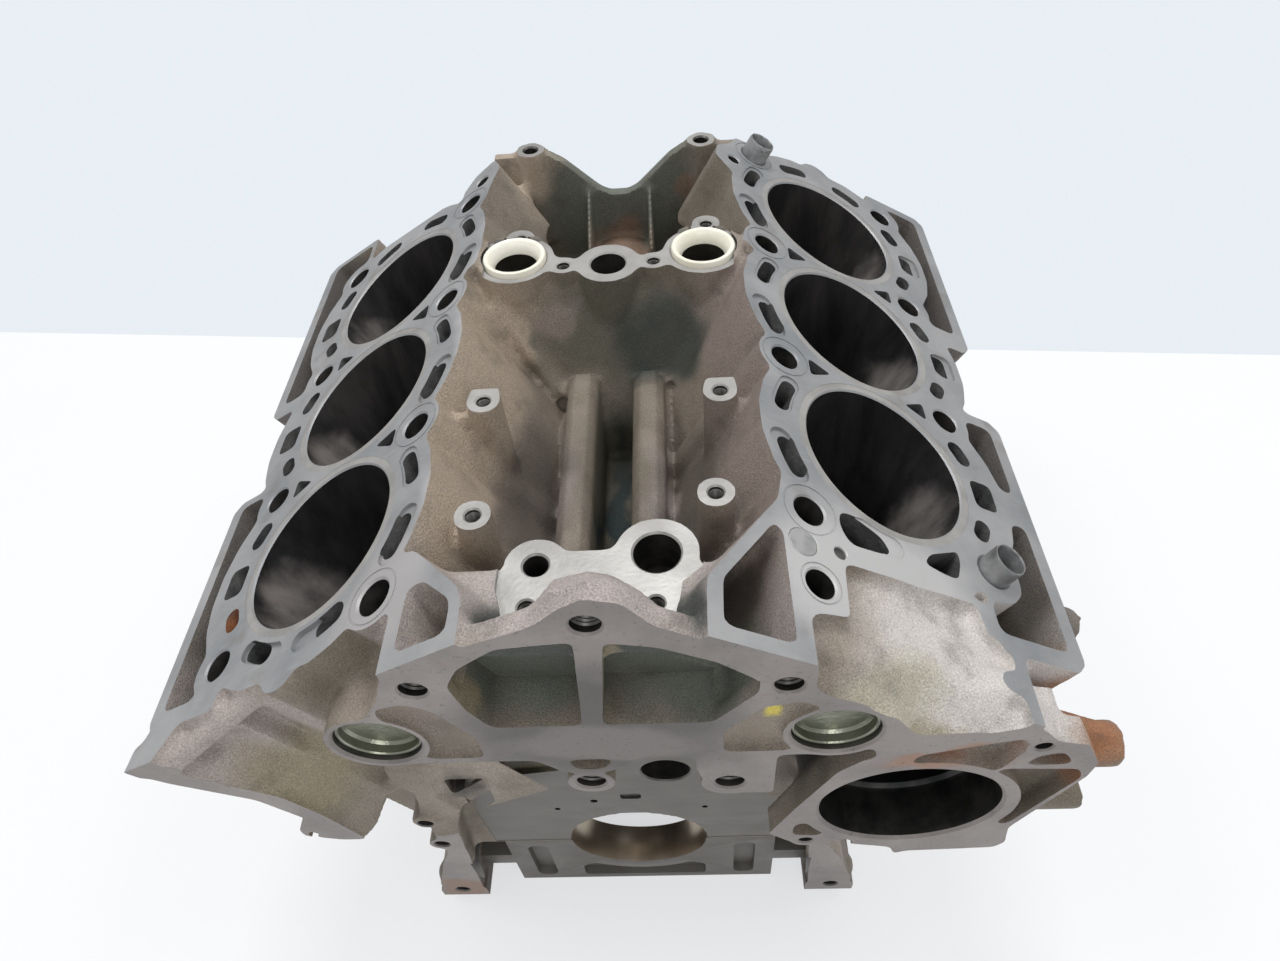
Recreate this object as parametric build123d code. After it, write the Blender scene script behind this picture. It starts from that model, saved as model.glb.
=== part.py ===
from build123d import *
import os
from math import cos, radians, sin

# A bare V6 cylinder block with its main bearing caps.
# Origin on the crank axis at the front face of the front main bearing.
# +X is the right-hand bank seen from the front, +Y runs to the rear, +Z is up.

# Cylinders
bank_half_angle = 30.0
bore_diameter = 84.0
bore_pitch = 93.35
bores_per_bank = 3
deck_height = 254.3  # crank axis to deck, along the bores
left_first_bore = 55.7
bank_stagger = 34.3  # the right bank sits this much further back
block_length = 350.0

# Deck
jacket_radius = 69.5  # outer wall round each cylinder
jacket_shift = 2.5  # that wall lies this much nearer the outside
bank_depth = 150.0
head_bolt_offset = 48.0
head_bolt_radius = 7.2
head_bolt_boss = 14.5
head_bolt_depth = 45.0
coolant_ring_radius = 55.5
coolant_depth = 32.0
deck_lobe_radius = 10.5
deck_lobe_reach = 63.0  # from the end bore to the round lobe on the deck's end

# Oil return channels along the outer side of each bank
rail_reach = 86.5  # bore line to the outer face
rail_wall = 7.5
rail_depth = 104.0
rail_corner = 9.0
rail_pocket_depth = 70.0

# Crankcase
main_bore_diameter = 78.0
bore_exit = 112.0  # crank axis to the lower end of the cylinders
chamber_half_width = 98.0
skirt_wall = 9.0
rail_bottom = -58.0
pan_rail_outer = 127.0
pan_rail_thickness = 12.0
bulkhead_thickness = 24.0
front_bulkhead_thickness = 38.0
rear_bulkhead_thickness = 46.0
first_main = 26.2  # front face to the middle of the first bearing, as it repeats
crank_wall_station = -12.3  # front edge of the crankcase side walls
cover_boss_radius = 7.0
cover_hole_radius = 4.0
cover_hole_depth = 22.0

# Front flange
flange_station = -28.3
arch_thickness = 9.5
front_wall_back = 14.0
flange_pocket_depth = 22.0  # at the foot; two steps above it are shallower
flange_pocket_step = 8.0
flange_panel_depth = 4.0
flange_hole_radius = 5.0
core_plug_x = 91.0
core_plug_z = 195.0
core_plug_radius = 17.6
core_plug_boss = 21.0
core_plug_height = 7.5
core_plug_setback = 3.0
core_plug_wall = 2.0

# Round pump seat in front of the right-hand bank
pump_x = 131.3
pump_z = 116.5
pump_seat_radius = 40.5
pump_bore_radius = 36.5
pump_ring_radius = 48.0
pump_seat_depth = 24.0
pump_bore_depth = 58.0
pump_flange_thickness = 13.0

# Hoods from the cover face to the front ends of the banks
hood_lip = 12.0
hood_wall = 7.0
ridge_radius = 5.0
right_hood_drop = 6.0  # below the deck

# Valley
valley_floor = 160.0
valley_pad_height = 250.0
valley_rib_x = 18.0
valley_rib_top = 200.0
valley_rib_width = 17.0
valley_rib_end = 182.0
valley_slot_depth = 18.0  # the drain slot between the ribs, below the floor
valley_boss_radius = 7.7
small_hole_radius = 3.3
valley_hole_depth = 20.0
oil_hole_radius = 9.3
breather_hole_radius = 5.0
bridge_station = 212.0
sleeve_x = 50.5
sleeve_station = 219.5
sleeve_radius = 17.0
sleeve_wall = 4.0
sleeve_housing_wall = 4.0
sleeve_height = 24.0
sleeve_proud = 3.0
sleeve_passage_depth = 70.0
rear_wall_top = 242.0
rear_wall_thickness = 6.0
rear_boss_x = 54.3
rear_boss_radius = 9.3
rear_hole_radius = 4.4

# Main bearing caps
cap_half_width = 79.0
cap_bottom = -68.0
cap_tie_top = -24.0
cap_tie_bottom = -38.0
cap_slot_x = 61.5
cap_slot_width = 12.5
cap_slot_depth = 5.0
cap_arc_slot_half = 38.0
cap_bolt_x = 50.0
cap_bolt_radius = 5.5
cap_bolt_head = 18.0  # across flats
cap_bolt_head_height = 10.0
cap_bolt_pocket = 24.0  # side of the square pocket that takes the head
cap_bolt_grip = 40.0  # length in the block

# Secondary rounds are drawn with flat sides, so that the model stays light
tapped_hole_sides = 6
bolt_hole_sides = 8  # head bolt holes and slim bosses
boss_sides = 10
ring_sides = 16
jacket_sides = 26
tapped_hole_limit = 6.0
bolt_hole_limit = 7.8
boss_radius_limit = 15.0
ring_radius_limit = 30.0

# Dowels and plugs
dowel_radius = 8.0
dowel_wall = 1.6
dowel_proud = 10.5
dowel_seat_depth = 12.0
gallery_plug_radius = 6.5
gallery_plug_depth = 8.0

half_angle = radians(bank_half_angle)
right_first_bore = left_first_bore + bank_stagger
bore_radius = bore_diameter / 2
main_bore_radius = main_bore_diameter / 2
rail_outer_wall = rail_reach - rail_wall


# Planes and small helpers

def deck_plane(depth):
    """The right-hand deck lowered by depth: x outward from the bore line, y to the rear."""
    up = Vector(sin(half_angle), 0, cos(half_angle))
    outward = Vector(cos(half_angle), 0, -sin(half_angle))
    return Plane(origin=up * (deck_height - depth), x_dir=outward, z_dir=up)


def bank_prism(outline, top, bottom):
    """A right-hand deck outline made solid between two depths below the deck."""
    return extrude(deck_plane(bottom) * outline, amount=bottom - top)


def front_plane(station):
    return Plane(origin=(0, station, 0), x_dir=(1, 0, 0), z_dir=(0, -1, 0))


def slab(outline, front, back):
    """A front-view outline, in x and z, made solid between two stations along the crank."""
    return extrude(front_plane(back) * outline, amount=back - front)


def sloped_slab(outline, station, run):
    """A front-view outline at one station, swept along the vector run."""
    return extrude(front_plane(station) * outline, amount=Vector(*run).length, dir=Vector(*run))


def plan(outline, low, high):
    """A plan-view outline made solid between two heights."""
    return extrude(Pos(0, 0, low) * outline, amount=high - low)


def shape_of(*points):
    return make_face(Polyline(*points, close=True))


def box_outline(x0, x1, y0, y1):
    return Pos((x0 + x1) / 2, (y0 + y1) / 2) * Rectangle(abs(x1 - x0), abs(y1 - y0))


def circle_at(x, y, radius):
    return Pos(x, y) * Circle(radius)


def round_at(x, y, radius):
    """A secondary round with flat sides, more of them on a larger one."""
    limits = (
        (tapped_hole_limit, tapped_hole_sides), (bolt_hole_limit, bolt_hole_sides), (boss_radius_limit, boss_sides),
        (ring_radius_limit, ring_sides),
    )
    sides = next((n for limit, n in limits if radius < limit), jacket_sides)
    return Pos(x, y) * (Rot(0, 0, 180 / sides) * RegularPolygon(radius, sides))


def left(shape):
    return mirror(shape, about=Plane.YZ)


def bore_stations(first):
    return [first + i * bore_pitch for i in range(bores_per_bank)]


def bolt_stations(first):
    return [first + (i - 0.5) * bore_pitch for i in range(bores_per_bank + 1)]


# Deck outlines

def jacket_outline(first):
    """The wall round the cylinders of one bank: a circle each, and a boss round each head bolt."""
    stations = bolt_stations(first)
    outline = box_outline(-head_bolt_offset, head_bolt_offset, stations[0], stations[-1])
    for y in bore_stations(first):
        outline += round_at(jacket_shift, y, jacket_radius)
    for y in stations:
        for x in (-head_bolt_offset, head_bolt_offset):
            outline += round_at(x, y, head_bolt_boss)
    return outline


def slot_outline(length, width, point):
    """A six-sided cored slot, pointed at both ends."""
    flat = length / 2 - point
    return shape_of((-length / 2, 0), (-flat, width / 2), (flat, width / 2), (length / 2, 0), (flat, -width / 2),
                    (-flat, -width / 2))


def ring_slot(y, angle, length, width):
    """A coolant slot that lies along the circle round a bore."""
    slot = Pos(coolant_ring_radius, 0) * (Rot(0, 0, 90) * slot_outline(length, width, width / 2))
    return Pos(0, y) * (Rot(0, 0, angle) * slot)


def coolant_openings(first):
    """The coolant slots of one deck, the same round each bore, with more at the two ends."""
    openings = []
    stations = bore_stations(first)
    for y in stations:
        for turn in (-1, 1):
            openings.append(ring_slot(y, 180 + turn * 19, 23, 9))
            openings.append(ring_slot(y, turn * 26, 17, 9))
        openings.append(Pos(58, y) * (Rot(0, 0, 90) * slot_outline(17, 12.5, 3)))
    for turn in (-1, 1):
        openings.append(ring_slot(stations[0], -90 + turn * 25, 18, 8))
        openings.append(ring_slot(stations[-1], 90 + turn * 25, 18, 8))
    for y in bolt_stations(first)[1:-1]:
        for side in (-1, 1):
            openings.append(Pos(0, y) * shape_of((side * 35, -6), (side * 35, 6), (side * 22, 0)))
    return openings


def bank_cuts(first):
    """Everything bored or cored into a bank from its deck."""
    cuts = []
    for y in bore_stations(first):
        cuts.append(bank_prism(circle_at(0, y, bore_radius), -1, deck_height - bore_exit))
    for outline in coolant_openings(first):
        cuts.append(bank_prism(outline, -1, coolant_depth))
    for y in bolt_stations(first):
        for x in (-head_bolt_offset, head_bolt_offset):
            cuts.append(bank_prism(round_at(x, y, head_bolt_radius), -1, head_bolt_depth))
    return cuts


def oil_channel(first, start, end, pockets):
    """The outer rail of a bank, and the oil return pockets between it and the jacket wall."""
    rail = box_outline(40, rail_reach, start, end)
    rail = chamfer(rail.vertices().group_by(Axis.X)[-1], rail_corner * 0.6)
    wall = jacket_outline(first)
    hollows = []
    for low, high, reach in pockets:
        pocket = box_outline(reach, rail_outer_wall, low, high) - wall
        hollows += [bank_prism(face, -1, rail_pocket_depth) for face in pocket.faces()]
    return bank_prism(rail, 0, rail_depth), hollows


def deck_lobe(y):
    return bank_prism(round_at(0, y, deck_lobe_radius), 0, 30)


# Banks

def left_bank():
    """The left-hand bank, drawn in right-hand coordinates: its solids and its cuts."""
    first = left_first_bore
    outline = jacket_outline(first) & box_outline(-90, 90, first - 66, first + 2 * bore_pitch + 64.5)
    near_body, near_pockets = oil_channel(first, -14, first + 60, [(-4.5, first + 55, 58)])
    far_body, far_pockets = oil_channel(first, first + 122, first + 272, [(first + 133, first + 267, 44)])
    corner_strip = shape_of((62, -14), (84.5, -14), (93, flange_station), (75, flange_station))
    leg = shape_of((-60.5, flange_station), (-60.5, 24), (-66, 24), (-94, -3.5), (-97.5, -11), (-97.5, flange_station))
    leg_pocket = shape_of((-67.5, -22), (-67.5, 5.5), (-76, 5.5), (-91, -7.5), (-92, -12), (-92, -22))
    far_corner = shape_of((-40, 300), (-40, 308), (-48, 320), (-62, 326), (-68, 312), (-62, 290))
    solids = [
        bank_prism(outline, 0, bank_depth),
        near_body,
        far_body,
        bank_prism(corner_strip, 0, 9),
        deck_lobe(first - deck_lobe_reach),
        bank_prism(leg, 0, 46),
        bank_prism(far_corner, 0, 50),
    ]
    cuts = bank_cuts(first) + near_pockets + far_pockets
    cuts.append(bank_prism(leg_pocket, -1, 32))
    cuts.append(bank_prism(round_at(-54.5, first + 252, 4.4), -1, 30))
    for x, y in ((-head_bolt_offset, bolt_stations(first)[0]), (head_bolt_offset, bolt_stations(first)[-1])):
        cuts.append(bank_prism(round_at(x, y, dowel_radius), -1, dowel_seat_depth))
    return solids, cuts


def dowel_places():
    """The two head dowels of the right-hand bank: front outer and rear valley bolt holes."""
    stations = bolt_stations(right_first_bore)
    return {"front": (head_bolt_offset, stations[0]), "rear": (-head_bolt_offset, stations[-1])}


def right_bank():
    """The right-hand bank: its solids and its cuts."""
    first = right_first_bore
    outline = jacket_outline(first) & box_outline(-90, 90, first - 69, first + 2 * bore_pitch + 66)
    near_body, near_pockets = oil_channel(first, 2, first + 60, [(11, 78, 62), (99, 143, 56)])
    far_body, far_pockets = oil_channel(first, first + 116, first + 255, [(first + 131, first + 248, 56)])
    front_pocket = shape_of((41, 11), (41, 26), (55, 28.7), (61, 35), (66, 48), (66, 11))
    leg = shape_of(
        (-56.5, flange_station), (-56.5, -7), (-37, -4), (-35, 21), (-35, 60), (-60, 57), (-63, 44), (-97, -4),
        (-98, -12), (-98, flange_station),
    )
    leg_pocket = shape_of((-62.5, -22), (-62.5, 28), (-66, 31), (-91, -3), (-92, -22))
    near_leg = shape_of((43.5, flange_station), (43.5, 4), (33, 8), (31, 24), (60, 24), (49.5, 3), (49.5, flange_station))
    far_corner = shape_of((-40, 300), (-40, 338), (-60, 336), (-64, 326), (-74, 316), (-76, 304), (-64, 290))
    solids = [
        bank_prism(outline, 0, bank_depth),
        near_body,
        far_body,
        deck_lobe(first + 2 * bore_pitch + deck_lobe_reach),
        bank_prism(leg, 0, 60),
        bank_prism(near_leg, 0, 40),
        bank_prism(box_outline(-35, 30, 21.5, 60), 0, 20),
        bank_prism(far_corner, 0, 50),
        side_lug((194, 36, 168.5), (208, 36, 160.5), 9),
        right_hood(),
    ]
    cuts = bank_cuts(first) + near_pockets + far_pockets
    cuts.append(bank_prism(front_pocket, -1, rail_pocket_depth))
    cuts.append(bank_prism(leg_pocket, -1, 50))
    cuts.append(bank_prism(round_at(-head_bolt_offset, 8, 6.6), -1, head_bolt_depth))
    cuts.append(bank_prism(round_at(-53.5, 25.7, gallery_plug_radius), -1, gallery_plug_depth))
    cuts.append(bank_prism(round_at(-63, first + 2 * bore_pitch + 31, 3.6), -1, 30))
    for x, y in dowel_places().values():
        cuts.append(bank_prism(round_at(x, y, dowel_radius), -1, dowel_seat_depth))
    return solids, cuts


# Crankcase

def main_spans():
    """Front and back of each main bearing wall."""
    spans = []
    for i in range(bores_per_bank + 1):
        middle = first_main + i * bore_pitch
        spans.append((middle - bulkhead_thickness / 2, middle + bulkhead_thickness / 2))
    spans[0] = (0, front_bulkhead_thickness)
    spans[-1] = (block_length - rear_bulkhead_thickness, block_length)
    return spans


def crankcase():
    """The lower half: shoulders under the banks, straight skirts and the pan rail."""
    outer = chamber_half_width + skirt_wall
    shell = shape_of(
        (0, 165), (70, 165), (112, 150), (146, 96), (122, 52), (outer + 2, 20), (outer, 0), (outer, rail_bottom),
        (-outer, rail_bottom), (-outer, 0), (-outer - 2, 20), (-122, 52), (-146, 96), (-112, 150), (-70, 165),
    )
    rail = box_outline(-pan_rail_outer, pan_rail_outer, crank_wall_station, block_length)
    return [slab(shell, 0, block_length), plan(rail, rail_bottom, rail_bottom + pan_rail_thickness)]


def chamber_outline():
    """One crank bay: its roof is square to the cylinders of both banks."""
    wall = chamber_half_width
    ridge = bore_exit / cos(half_angle)
    shoulder = (bore_exit - wall * sin(half_angle)) / cos(half_angle)
    return shape_of((-wall, -100), (-wall, shoulder), (0, ridge), (wall, shoulder), (wall, -100))


def crank_space():
    """The open bays between the bearing walls, the room for the caps, and the main bore."""
    spans = main_spans()
    cuts = [slab(chamber_outline(), spans[i][1], spans[i + 1][0]) for i in range(len(spans) - 1)]
    below_parting = box_outline(-chamber_half_width, chamber_half_width, -100, 0)
    cuts.append(slab(below_parting, -60, block_length + 10))
    cuts.append(slab(Circle(main_bore_radius), -60, block_length + 10))
    for front, back in spans:
        for x in (-cap_bolt_x, cap_bolt_x):
            shank = round_at(x, (front + back) / 2, cap_bolt_radius)
            cuts.append(plan(shank, -5, cap_bolt_grip))
    return cuts


def crank_side_walls():
    """The crankcase walls ahead of the front bearing, with the bosses for its cover."""
    wall = shape_of(
        (97, 0), (92, 55), (85, 82), (93, 100), (88, 134), (108, 150), (112, 118), (104, 104), (108, 70), (106, 20),
        (114, 0), (124, -36), (124, rail_bottom), (100, rail_bottom),
    )
    low_boss = 106.5, 33
    high_boss = 105.5, 71.5
    foot = 113, -47.5
    wall += round_at(*low_boss, cover_boss_radius) + round_at(*high_boss, cover_boss_radius)
    piece = slab(wall, crank_wall_station, 10)
    back = crank_wall_station + cover_hole_depth
    cuts = [slab(round_at(*place, cover_hole_radius), -60, back) for place in (low_boss, high_boss)]
    cuts.append(slab(circle_at(*foot, cover_hole_radius), -60, back))
    return [piece, left(piece)], cuts + [left(c) for c in cuts]


# Front end

def front_flange():
    """The cover face: an arched plate with two deep pockets and a leaning rib between them."""
    outline = shape_of(
        (3, 293), (15, 290), (24, 277), (47, 263), (80, 247), (80, 232), (core_plug_x, 214), (core_plug_x, 176),
        (-core_plug_x, 176), (-core_plug_x, 214), (-80, 232), (-73, 251), (-45, 265), (-14, 279), (-5, 288),
    )
    crest = shape_of((-32, 263), (-18, 277), (-8, 293), (4, 297), (12, 294), (20, 285), (28, 272), (42, 262), (42, 250), (-32, 250))
    for x in (-core_plug_x, core_plug_x):
        outline += round_at(x, core_plug_z, core_plug_boss)
    lower = outline & box_outline(-130, 130, 100, valley_pad_height)
    web = shape_of((-32, 178), (-20, 164), (0, 164), (17, 178)) + round_at(-9.5, 152.5, 10)
    web += box_outline(-14, -5, 152, 178)
    oil_boss = shape_of((36, 178), (36, 164), (40, 145), (50, 138), (69, 137), (69, 178))
    left_pocket = shape_of((-3, 268), (-30, 265), (-46, 252), (-52, 240), (-49, 222), (-42, 207), (-7, 207))
    right_pocket = shape_of((7, 267), (25, 263), (45, 252), (60, 238), (60, 230), (43, 207), (1, 207))
    left_panel = shape_of((-84, 180), (-84, 224), (-72, 228), (-62, 222), (-50, 198), (-50, 180))
    right_panel = shape_of((47, 180), (47, 198), (62, 218), (76, 222), (84, 216), (84, 180))
    window = shape_of((-17, 176), (3, 176), (-3, 166), (-14, 166))
    back = flange_station + arch_thickness
    solids = [
        slab(outline, flange_station, back),
        slab(lower, flange_station, front_wall_back),
        sloped_slab(crest, flange_station + 3, (0, 12, -9)),
        slab(web, flange_station, flange_station + 16),
        slab(oil_boss, flange_station, 0),
    ]
    cuts = []
    for pocket in (left_pocket, right_pocket):
        for step, top in enumerate((238, 249, 270)):
            depth = flange_pocket_depth - step * flange_pocket_step
            cuts.append(slab(pocket & box_outline(-70, 70, 200, top), -60, flange_station + depth))
    for panel in (left_panel, right_panel):
        for x in (-core_plug_x, core_plug_x):
            panel -= round_at(x, core_plug_z, core_plug_boss)
        cuts.append(slab(panel, -60, flange_station + flange_panel_depth))
    cuts.append(slab(window, -60, 0))
    for x, z in ((2.5, 278), (-65, 238), (70.5, 234), (-9.5, 152.5), (50, 149)):
        cuts.append(slab(round_at(x, z, flange_hole_radius), -60, flange_station + 14))
    seat_back = flange_station + core_plug_setback + core_plug_height
    for x in (-core_plug_x, core_plug_x):
        cuts.append(slab(round_at(x, core_plug_z, core_plug_radius), -60, seat_back))
    cuts.append(slab(round_at(20, 95, 12.5), -60, 20))
    return solids, cuts


def below_decks(depth):
    """The room under both deck planes, to trim what leans up to them."""
    return bank_prism(box_outline(-400, 400, -200, 600), depth, 400)


def ruled_wall(lower, upper, run):
    """A cast wall between two edges of equally many points, thickened along the vector run."""
    corners = []
    for i in range(len(lower) - 1):
        corners.append((lower[i], lower[i + 1], upper[i + 1]))
        corners.append((lower[i], upper[i + 1], upper[i]))
    faces = [make_face(Polyline(*three, close=True)) for three in corners]
    return [extrude(face, amount=Vector(*run).length, dir=Vector(*run)) for face in faces]


def side_lug(start, end, radius):
    """A round lug between two points."""
    run = Vector(*end) - Vector(*start)
    return extrude(Plane(origin=start, z_dir=run) * RegularPolygon(radius, boss_sides), amount=run.length)


def left_hood():
    """The scoop from the cover face up to the front end of the left-hand bank."""
    band = shape_of(
        (-207, 174), (-193, 161), (-163, 141), (-149, 118), (-157, 103), (-157, 95), (-140, 89), (-128, 89), (-139, 121),
        (-150, 143), (-160, 151), (-180, 167), (-197, 179),
    )
    edge = [(x, flange_station + 2, z) for x, z in ((-199, 178), (-180, 167), (-155, 147), (-139, 121), (-127, 89))]
    root = [(-176, -8, 186), (-160, 4, 176), (-136, 8, 176), (-114, 0, 160), (-112, -8, 113)]
    ridge = side_lug((-190, -26, 173), (-143, -8, 202), ridge_radius)
    walls = ruled_wall(edge, root, (0, hood_wall, -hood_wall))
    solids = [slab(band, flange_station, flange_station + hood_lip), ridge] + walls
    return solids, [slab(round_at(-152, 97, small_hole_radius), -60, -10)]


def right_hood():
    """The domed panel between the pump seat and the front end of the right-hand bank."""
    edge = [(78, 226), (98, 215), (112, 203), (122, 187), (148, 189), (172, 191)]
    under = [(172, 177), (148, 174), (127, 167), (112, 164), (104, 190), (78, 205)]
    back = right_first_bore - jacket_radius + 6
    panel = slab(shape_of(*edge, (172, 240), (78, 240)), flange_station, back)
    panel -= sloped_slab(shape_of((70, 229), *edge, (190, 192), (190, 300), (70, 300)), flange_station, (0, 60, 90))
    return (panel + slab(shape_of(*edge, *under), flange_station, back)) & below_decks(right_hood_drop)


def pump_housing():
    """The large round pump seat, its webbed flange and the two lugs beside it."""
    outline = shape_of(
        (104, 168), (125, 181), (163, 195), (172, 191), (179, 182), (192, 178), (201, 160), (200, 146), (182, 88),
        (185, 68), (181, 61), (138, 58), (133, 54), (130, 64), (95, 74), (84, 70), (69, 86), (80, 118), (95, 157),
    )
    ring = round_at(pump_x, pump_z, pump_ring_radius)
    windows = [
        shape_of((121, 160), (127, 172), (152, 181), (165, 185), (170, 179), (160, 150)) - ring,
        shape_of((171, 160), (174, 168), (184, 172), (191, 160)),
        shape_of((160, 157), (195, 155), (198, 146), (180, 94), (170, 90)) - ring,
        shape_of((80, 84), (81, 98), (92, 100), (96, 82)) - ring,
    ]
    back = flange_station + pump_flange_thickness
    solids = [slab(outline, flange_station, back), slab(ring, flange_station, front_wall_back + 20)]
    cuts = [slab(face, -60, back - 3) for window in windows for face in window.faces()]
    cuts.append(slab(round_at(pump_x, pump_z, pump_seat_radius), -60, flange_station + pump_seat_depth))
    cuts.append(slab(round_at(pump_x, pump_z, pump_bore_radius), -60, flange_station + pump_bore_depth))
    for x, z in ((174.5, 177), (87.5, 75.5)):
        cuts.append(slab(round_at(x, z, small_hole_radius), -60, back))
    solids.append(side_lug((172, -9, 136), (222, -9, 136), 10.5))
    solids.append(side_lug((172, -9, 80), (222, -9, 80), 8))
    lug_web = shape_of((160, 188), (182, 184), (188, 166), (220, 147), (220, 136), (170, 136))
    solids.append(slab(lug_web, -13, -5))
    return solids, cuts


# Valley

def valley():
    """The floor between the banks, its two long ribs, and the machined pads that stand on it."""
    ribs = box_outline(-60, 60, 100, valley_floor)
    for x in (-valley_rib_x, valley_rib_x):
        half = valley_rib_width / 2
        rib = shape_of(
            (x - half, valley_floor - 5), (x - half, valley_rib_top - 5), (x - half / 2, valley_rib_top),
            (x + half / 2, valley_rib_top), (x + half, valley_rib_top - 5), (x + half, valley_floor - 5),
        )
        ribs += rib
    floor = slab(ribs, 0, valley_rib_end) + slab(box_outline(-60, 60, 100, valley_floor), valley_rib_end, block_length)
    ramp = extrude(
        Plane(origin=(-62, 0, 0), x_dir=(0, 1, 0), z_dir=(1, 0, 0))
        * shape_of((bridge_station, 140), (170, 140), (174, 166), (189, 205), (198, 227), (206, 241), (bridge_station, 244)),
        amount=124,
    )
    front_pad = round_at(-22, 17, 12.5) + round_at(24.5, 21, 16.5) + box_outline(-22, 24, 11, 23)
    front_pad += box_outline(-30, 31, -14, 8)
    bridge = round_at(0, bridge_station, 16.5) + box_outline(-sleeve_x, sleeve_x, bridge_station - 4, bridge_station + 4)
    for x in (-sleeve_x, sleeve_x):
        bridge += round_at(x, sleeve_station, sleeve_radius + sleeve_housing_wall)
        bridge += round_at(x * 0.475, bridge_station, 7)
    solids = [floor, ramp, plan(front_pad, 150, valley_pad_height), plan(bridge, 150, valley_pad_height)]
    top = valley_pad_height
    holes = [(-22, 17, breather_hole_radius), (24.5, 21, oil_hole_radius), (0, bridge_station, oil_hole_radius)]
    holes += [(-24, -2, small_hole_radius), (24, -2, small_hole_radius)]
    bosses = [(-50, 43), (48.5, 50), (-54, 110), (53.5, 110), (-49.5, 240), (53, 244)]
    for x, y in bosses:
        solids.append(plan(round_at(x, y, valley_boss_radius), 175, top))
        holes.append((x, y, small_hole_radius))
    for x, y in bosses[2:4]:
        outer = x * 1.4
        solids.append(plan(box_outline(x, outer, y - 2.5, y + 2.5), 200, top - 8))
    cuts = [plan(round_at(x, y, radius), top - valley_hole_depth, top + 5) for x, y, radius in holes]
    gap = valley_rib_x - valley_rib_width / 2
    cuts.append(slab(box_outline(-gap, gap, valley_floor - valley_slot_depth, valley_floor + 5), 6, valley_rib_end - 8))
    for x in (-sleeve_x, sleeve_x):
        cuts.append(plan(round_at(x, sleeve_station, sleeve_radius), top - sleeve_height + sleeve_proud, top + 5))
        passage = round_at(x, sleeve_station, sleeve_radius - sleeve_wall)
        cuts.append(plan(passage, top - sleeve_passage_depth, top))
    return solids, cuts


def rear_wall():
    """The wall that closes the valley, with its V notch, gussets and two threaded bosses."""
    front = block_length - rear_wall_thickness
    wall = shape_of(
        (-78, rear_wall_top), (-42, rear_wall_top), (-34, 237), (-12, 216), (-6, 213), (6, 213), (12, 216), (34, 237),
        (42, rear_wall_top), (78, rear_wall_top),
        (78, 100), (-78, 100),
    )
    solids = [slab(wall, front, block_length)]
    cuts = []
    for x in (-rear_boss_x, rear_boss_x):
        top = rear_wall_top + 3
        solids.append(plan(round_at(x, block_length - 3, rear_boss_radius), 180, top))
        cuts.append(plan(round_at(x, block_length - 3, rear_hole_radius), top - 25, top + 5))
    for x in (-20, 20):
        side = Plane(origin=(x - 1.5, 0, 0), x_dir=(0, 1, 0), z_dir=(1, 0, 0))
        face = shape_of((front + 1, 218), (305, 195), (305, 150), (front + 1, 150))
        solids.append(extrude(side * face, amount=3))
    return solids, cuts


# The block casting

def cylinder_block():
    solids = []
    cuts = []
    left_solids, left_cuts = left_bank()
    hood_solids, hood_cuts = left_hood()
    solids += [left(s) for s in left_solids] + hood_solids
    cuts += [left(c) for c in left_cuts] + hood_cuts
    for group in (right_bank(), crank_side_walls(), front_flange(), pump_housing(), valley(), rear_wall()):
        solids += group[0]
        cuts += group[1]
    solids += crankcase()
    casting = solids[0].fuse(*solids[1:])
    return casting.cut(*(cuts + crank_space()))


# Separate pieces

def main_cap(front, back):
    """A bearing cap: an arch over the crank, tied to the skirts at both sides."""
    outline = box_outline(-cap_half_width, cap_half_width, cap_bottom, 0)
    outline += box_outline(-chamber_half_width, chamber_half_width, cap_tie_bottom, cap_tie_top)
    outline -= Circle(main_bore_radius)
    cap = slab(outline, front, back)
    middle = (front + back) / 2
    for x in (-cap_bolt_x, cap_bolt_x):
        pocket = Pos(x, middle) * Rectangle(cap_bolt_pocket, cap_bolt_pocket)
        cap -= plan(pocket, cap_bottom - 5, cap_bottom + cap_bolt_head_height)
        cap -= plan(round_at(x, middle, cap_bolt_radius), cap_bottom - 5, 5)
    return cap


def front_cap(front, back):
    """The front cap also has shallow slots cast in its face."""
    cap = main_cap(front, back)
    half = cap_slot_width / 2
    slots = [box_outline(side * cap_slot_x - half, side * cap_slot_x + half, -61, -9) for side in (-1, 1)]
    slots.append(box_outline(-cap_arc_slot_half, cap_arc_slot_half, -62, -43) - Circle(main_bore_radius + 11))
    for slot in slots:
        cap -= slab(slot, front - 5, front + cap_slot_depth)
    return cap


def cap_bolt(x, y):
    seat = cap_bottom + cap_bolt_head_height
    head = plan(Pos(x, y) * RegularPolygon(cap_bolt_head / 2, 6, major_radius=False), cap_bottom, seat)
    return head + plan(round_at(x, y, cap_bolt_radius), seat, cap_bolt_grip)


def core_plug(x):
    """A pressed steel cup, open to the front."""
    front = flange_station + core_plug_setback
    cup = slab(round_at(x, core_plug_z, core_plug_radius), front, front + core_plug_height)
    hollow = round_at(x, core_plug_z, core_plug_radius - core_plug_wall)
    return cup - slab(hollow, front - 5, front + core_plug_height - core_plug_wall)


def sleeve(x):
    """A plastic sleeve pressed into the bridge."""
    ring = round_at(x, sleeve_station, sleeve_radius) - round_at(x, sleeve_station, sleeve_radius - sleeve_wall)
    top = valley_pad_height + sleeve_proud
    return plan(ring, top - sleeve_height, top)


def head_dowel(place):
    """A thin steel tube that locates the cylinder head."""
    ring = round_at(*place, dowel_radius) - round_at(*place, dowel_radius - dowel_wall)
    return bank_prism(ring, -dowel_proud, dowel_seat_depth)


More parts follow.
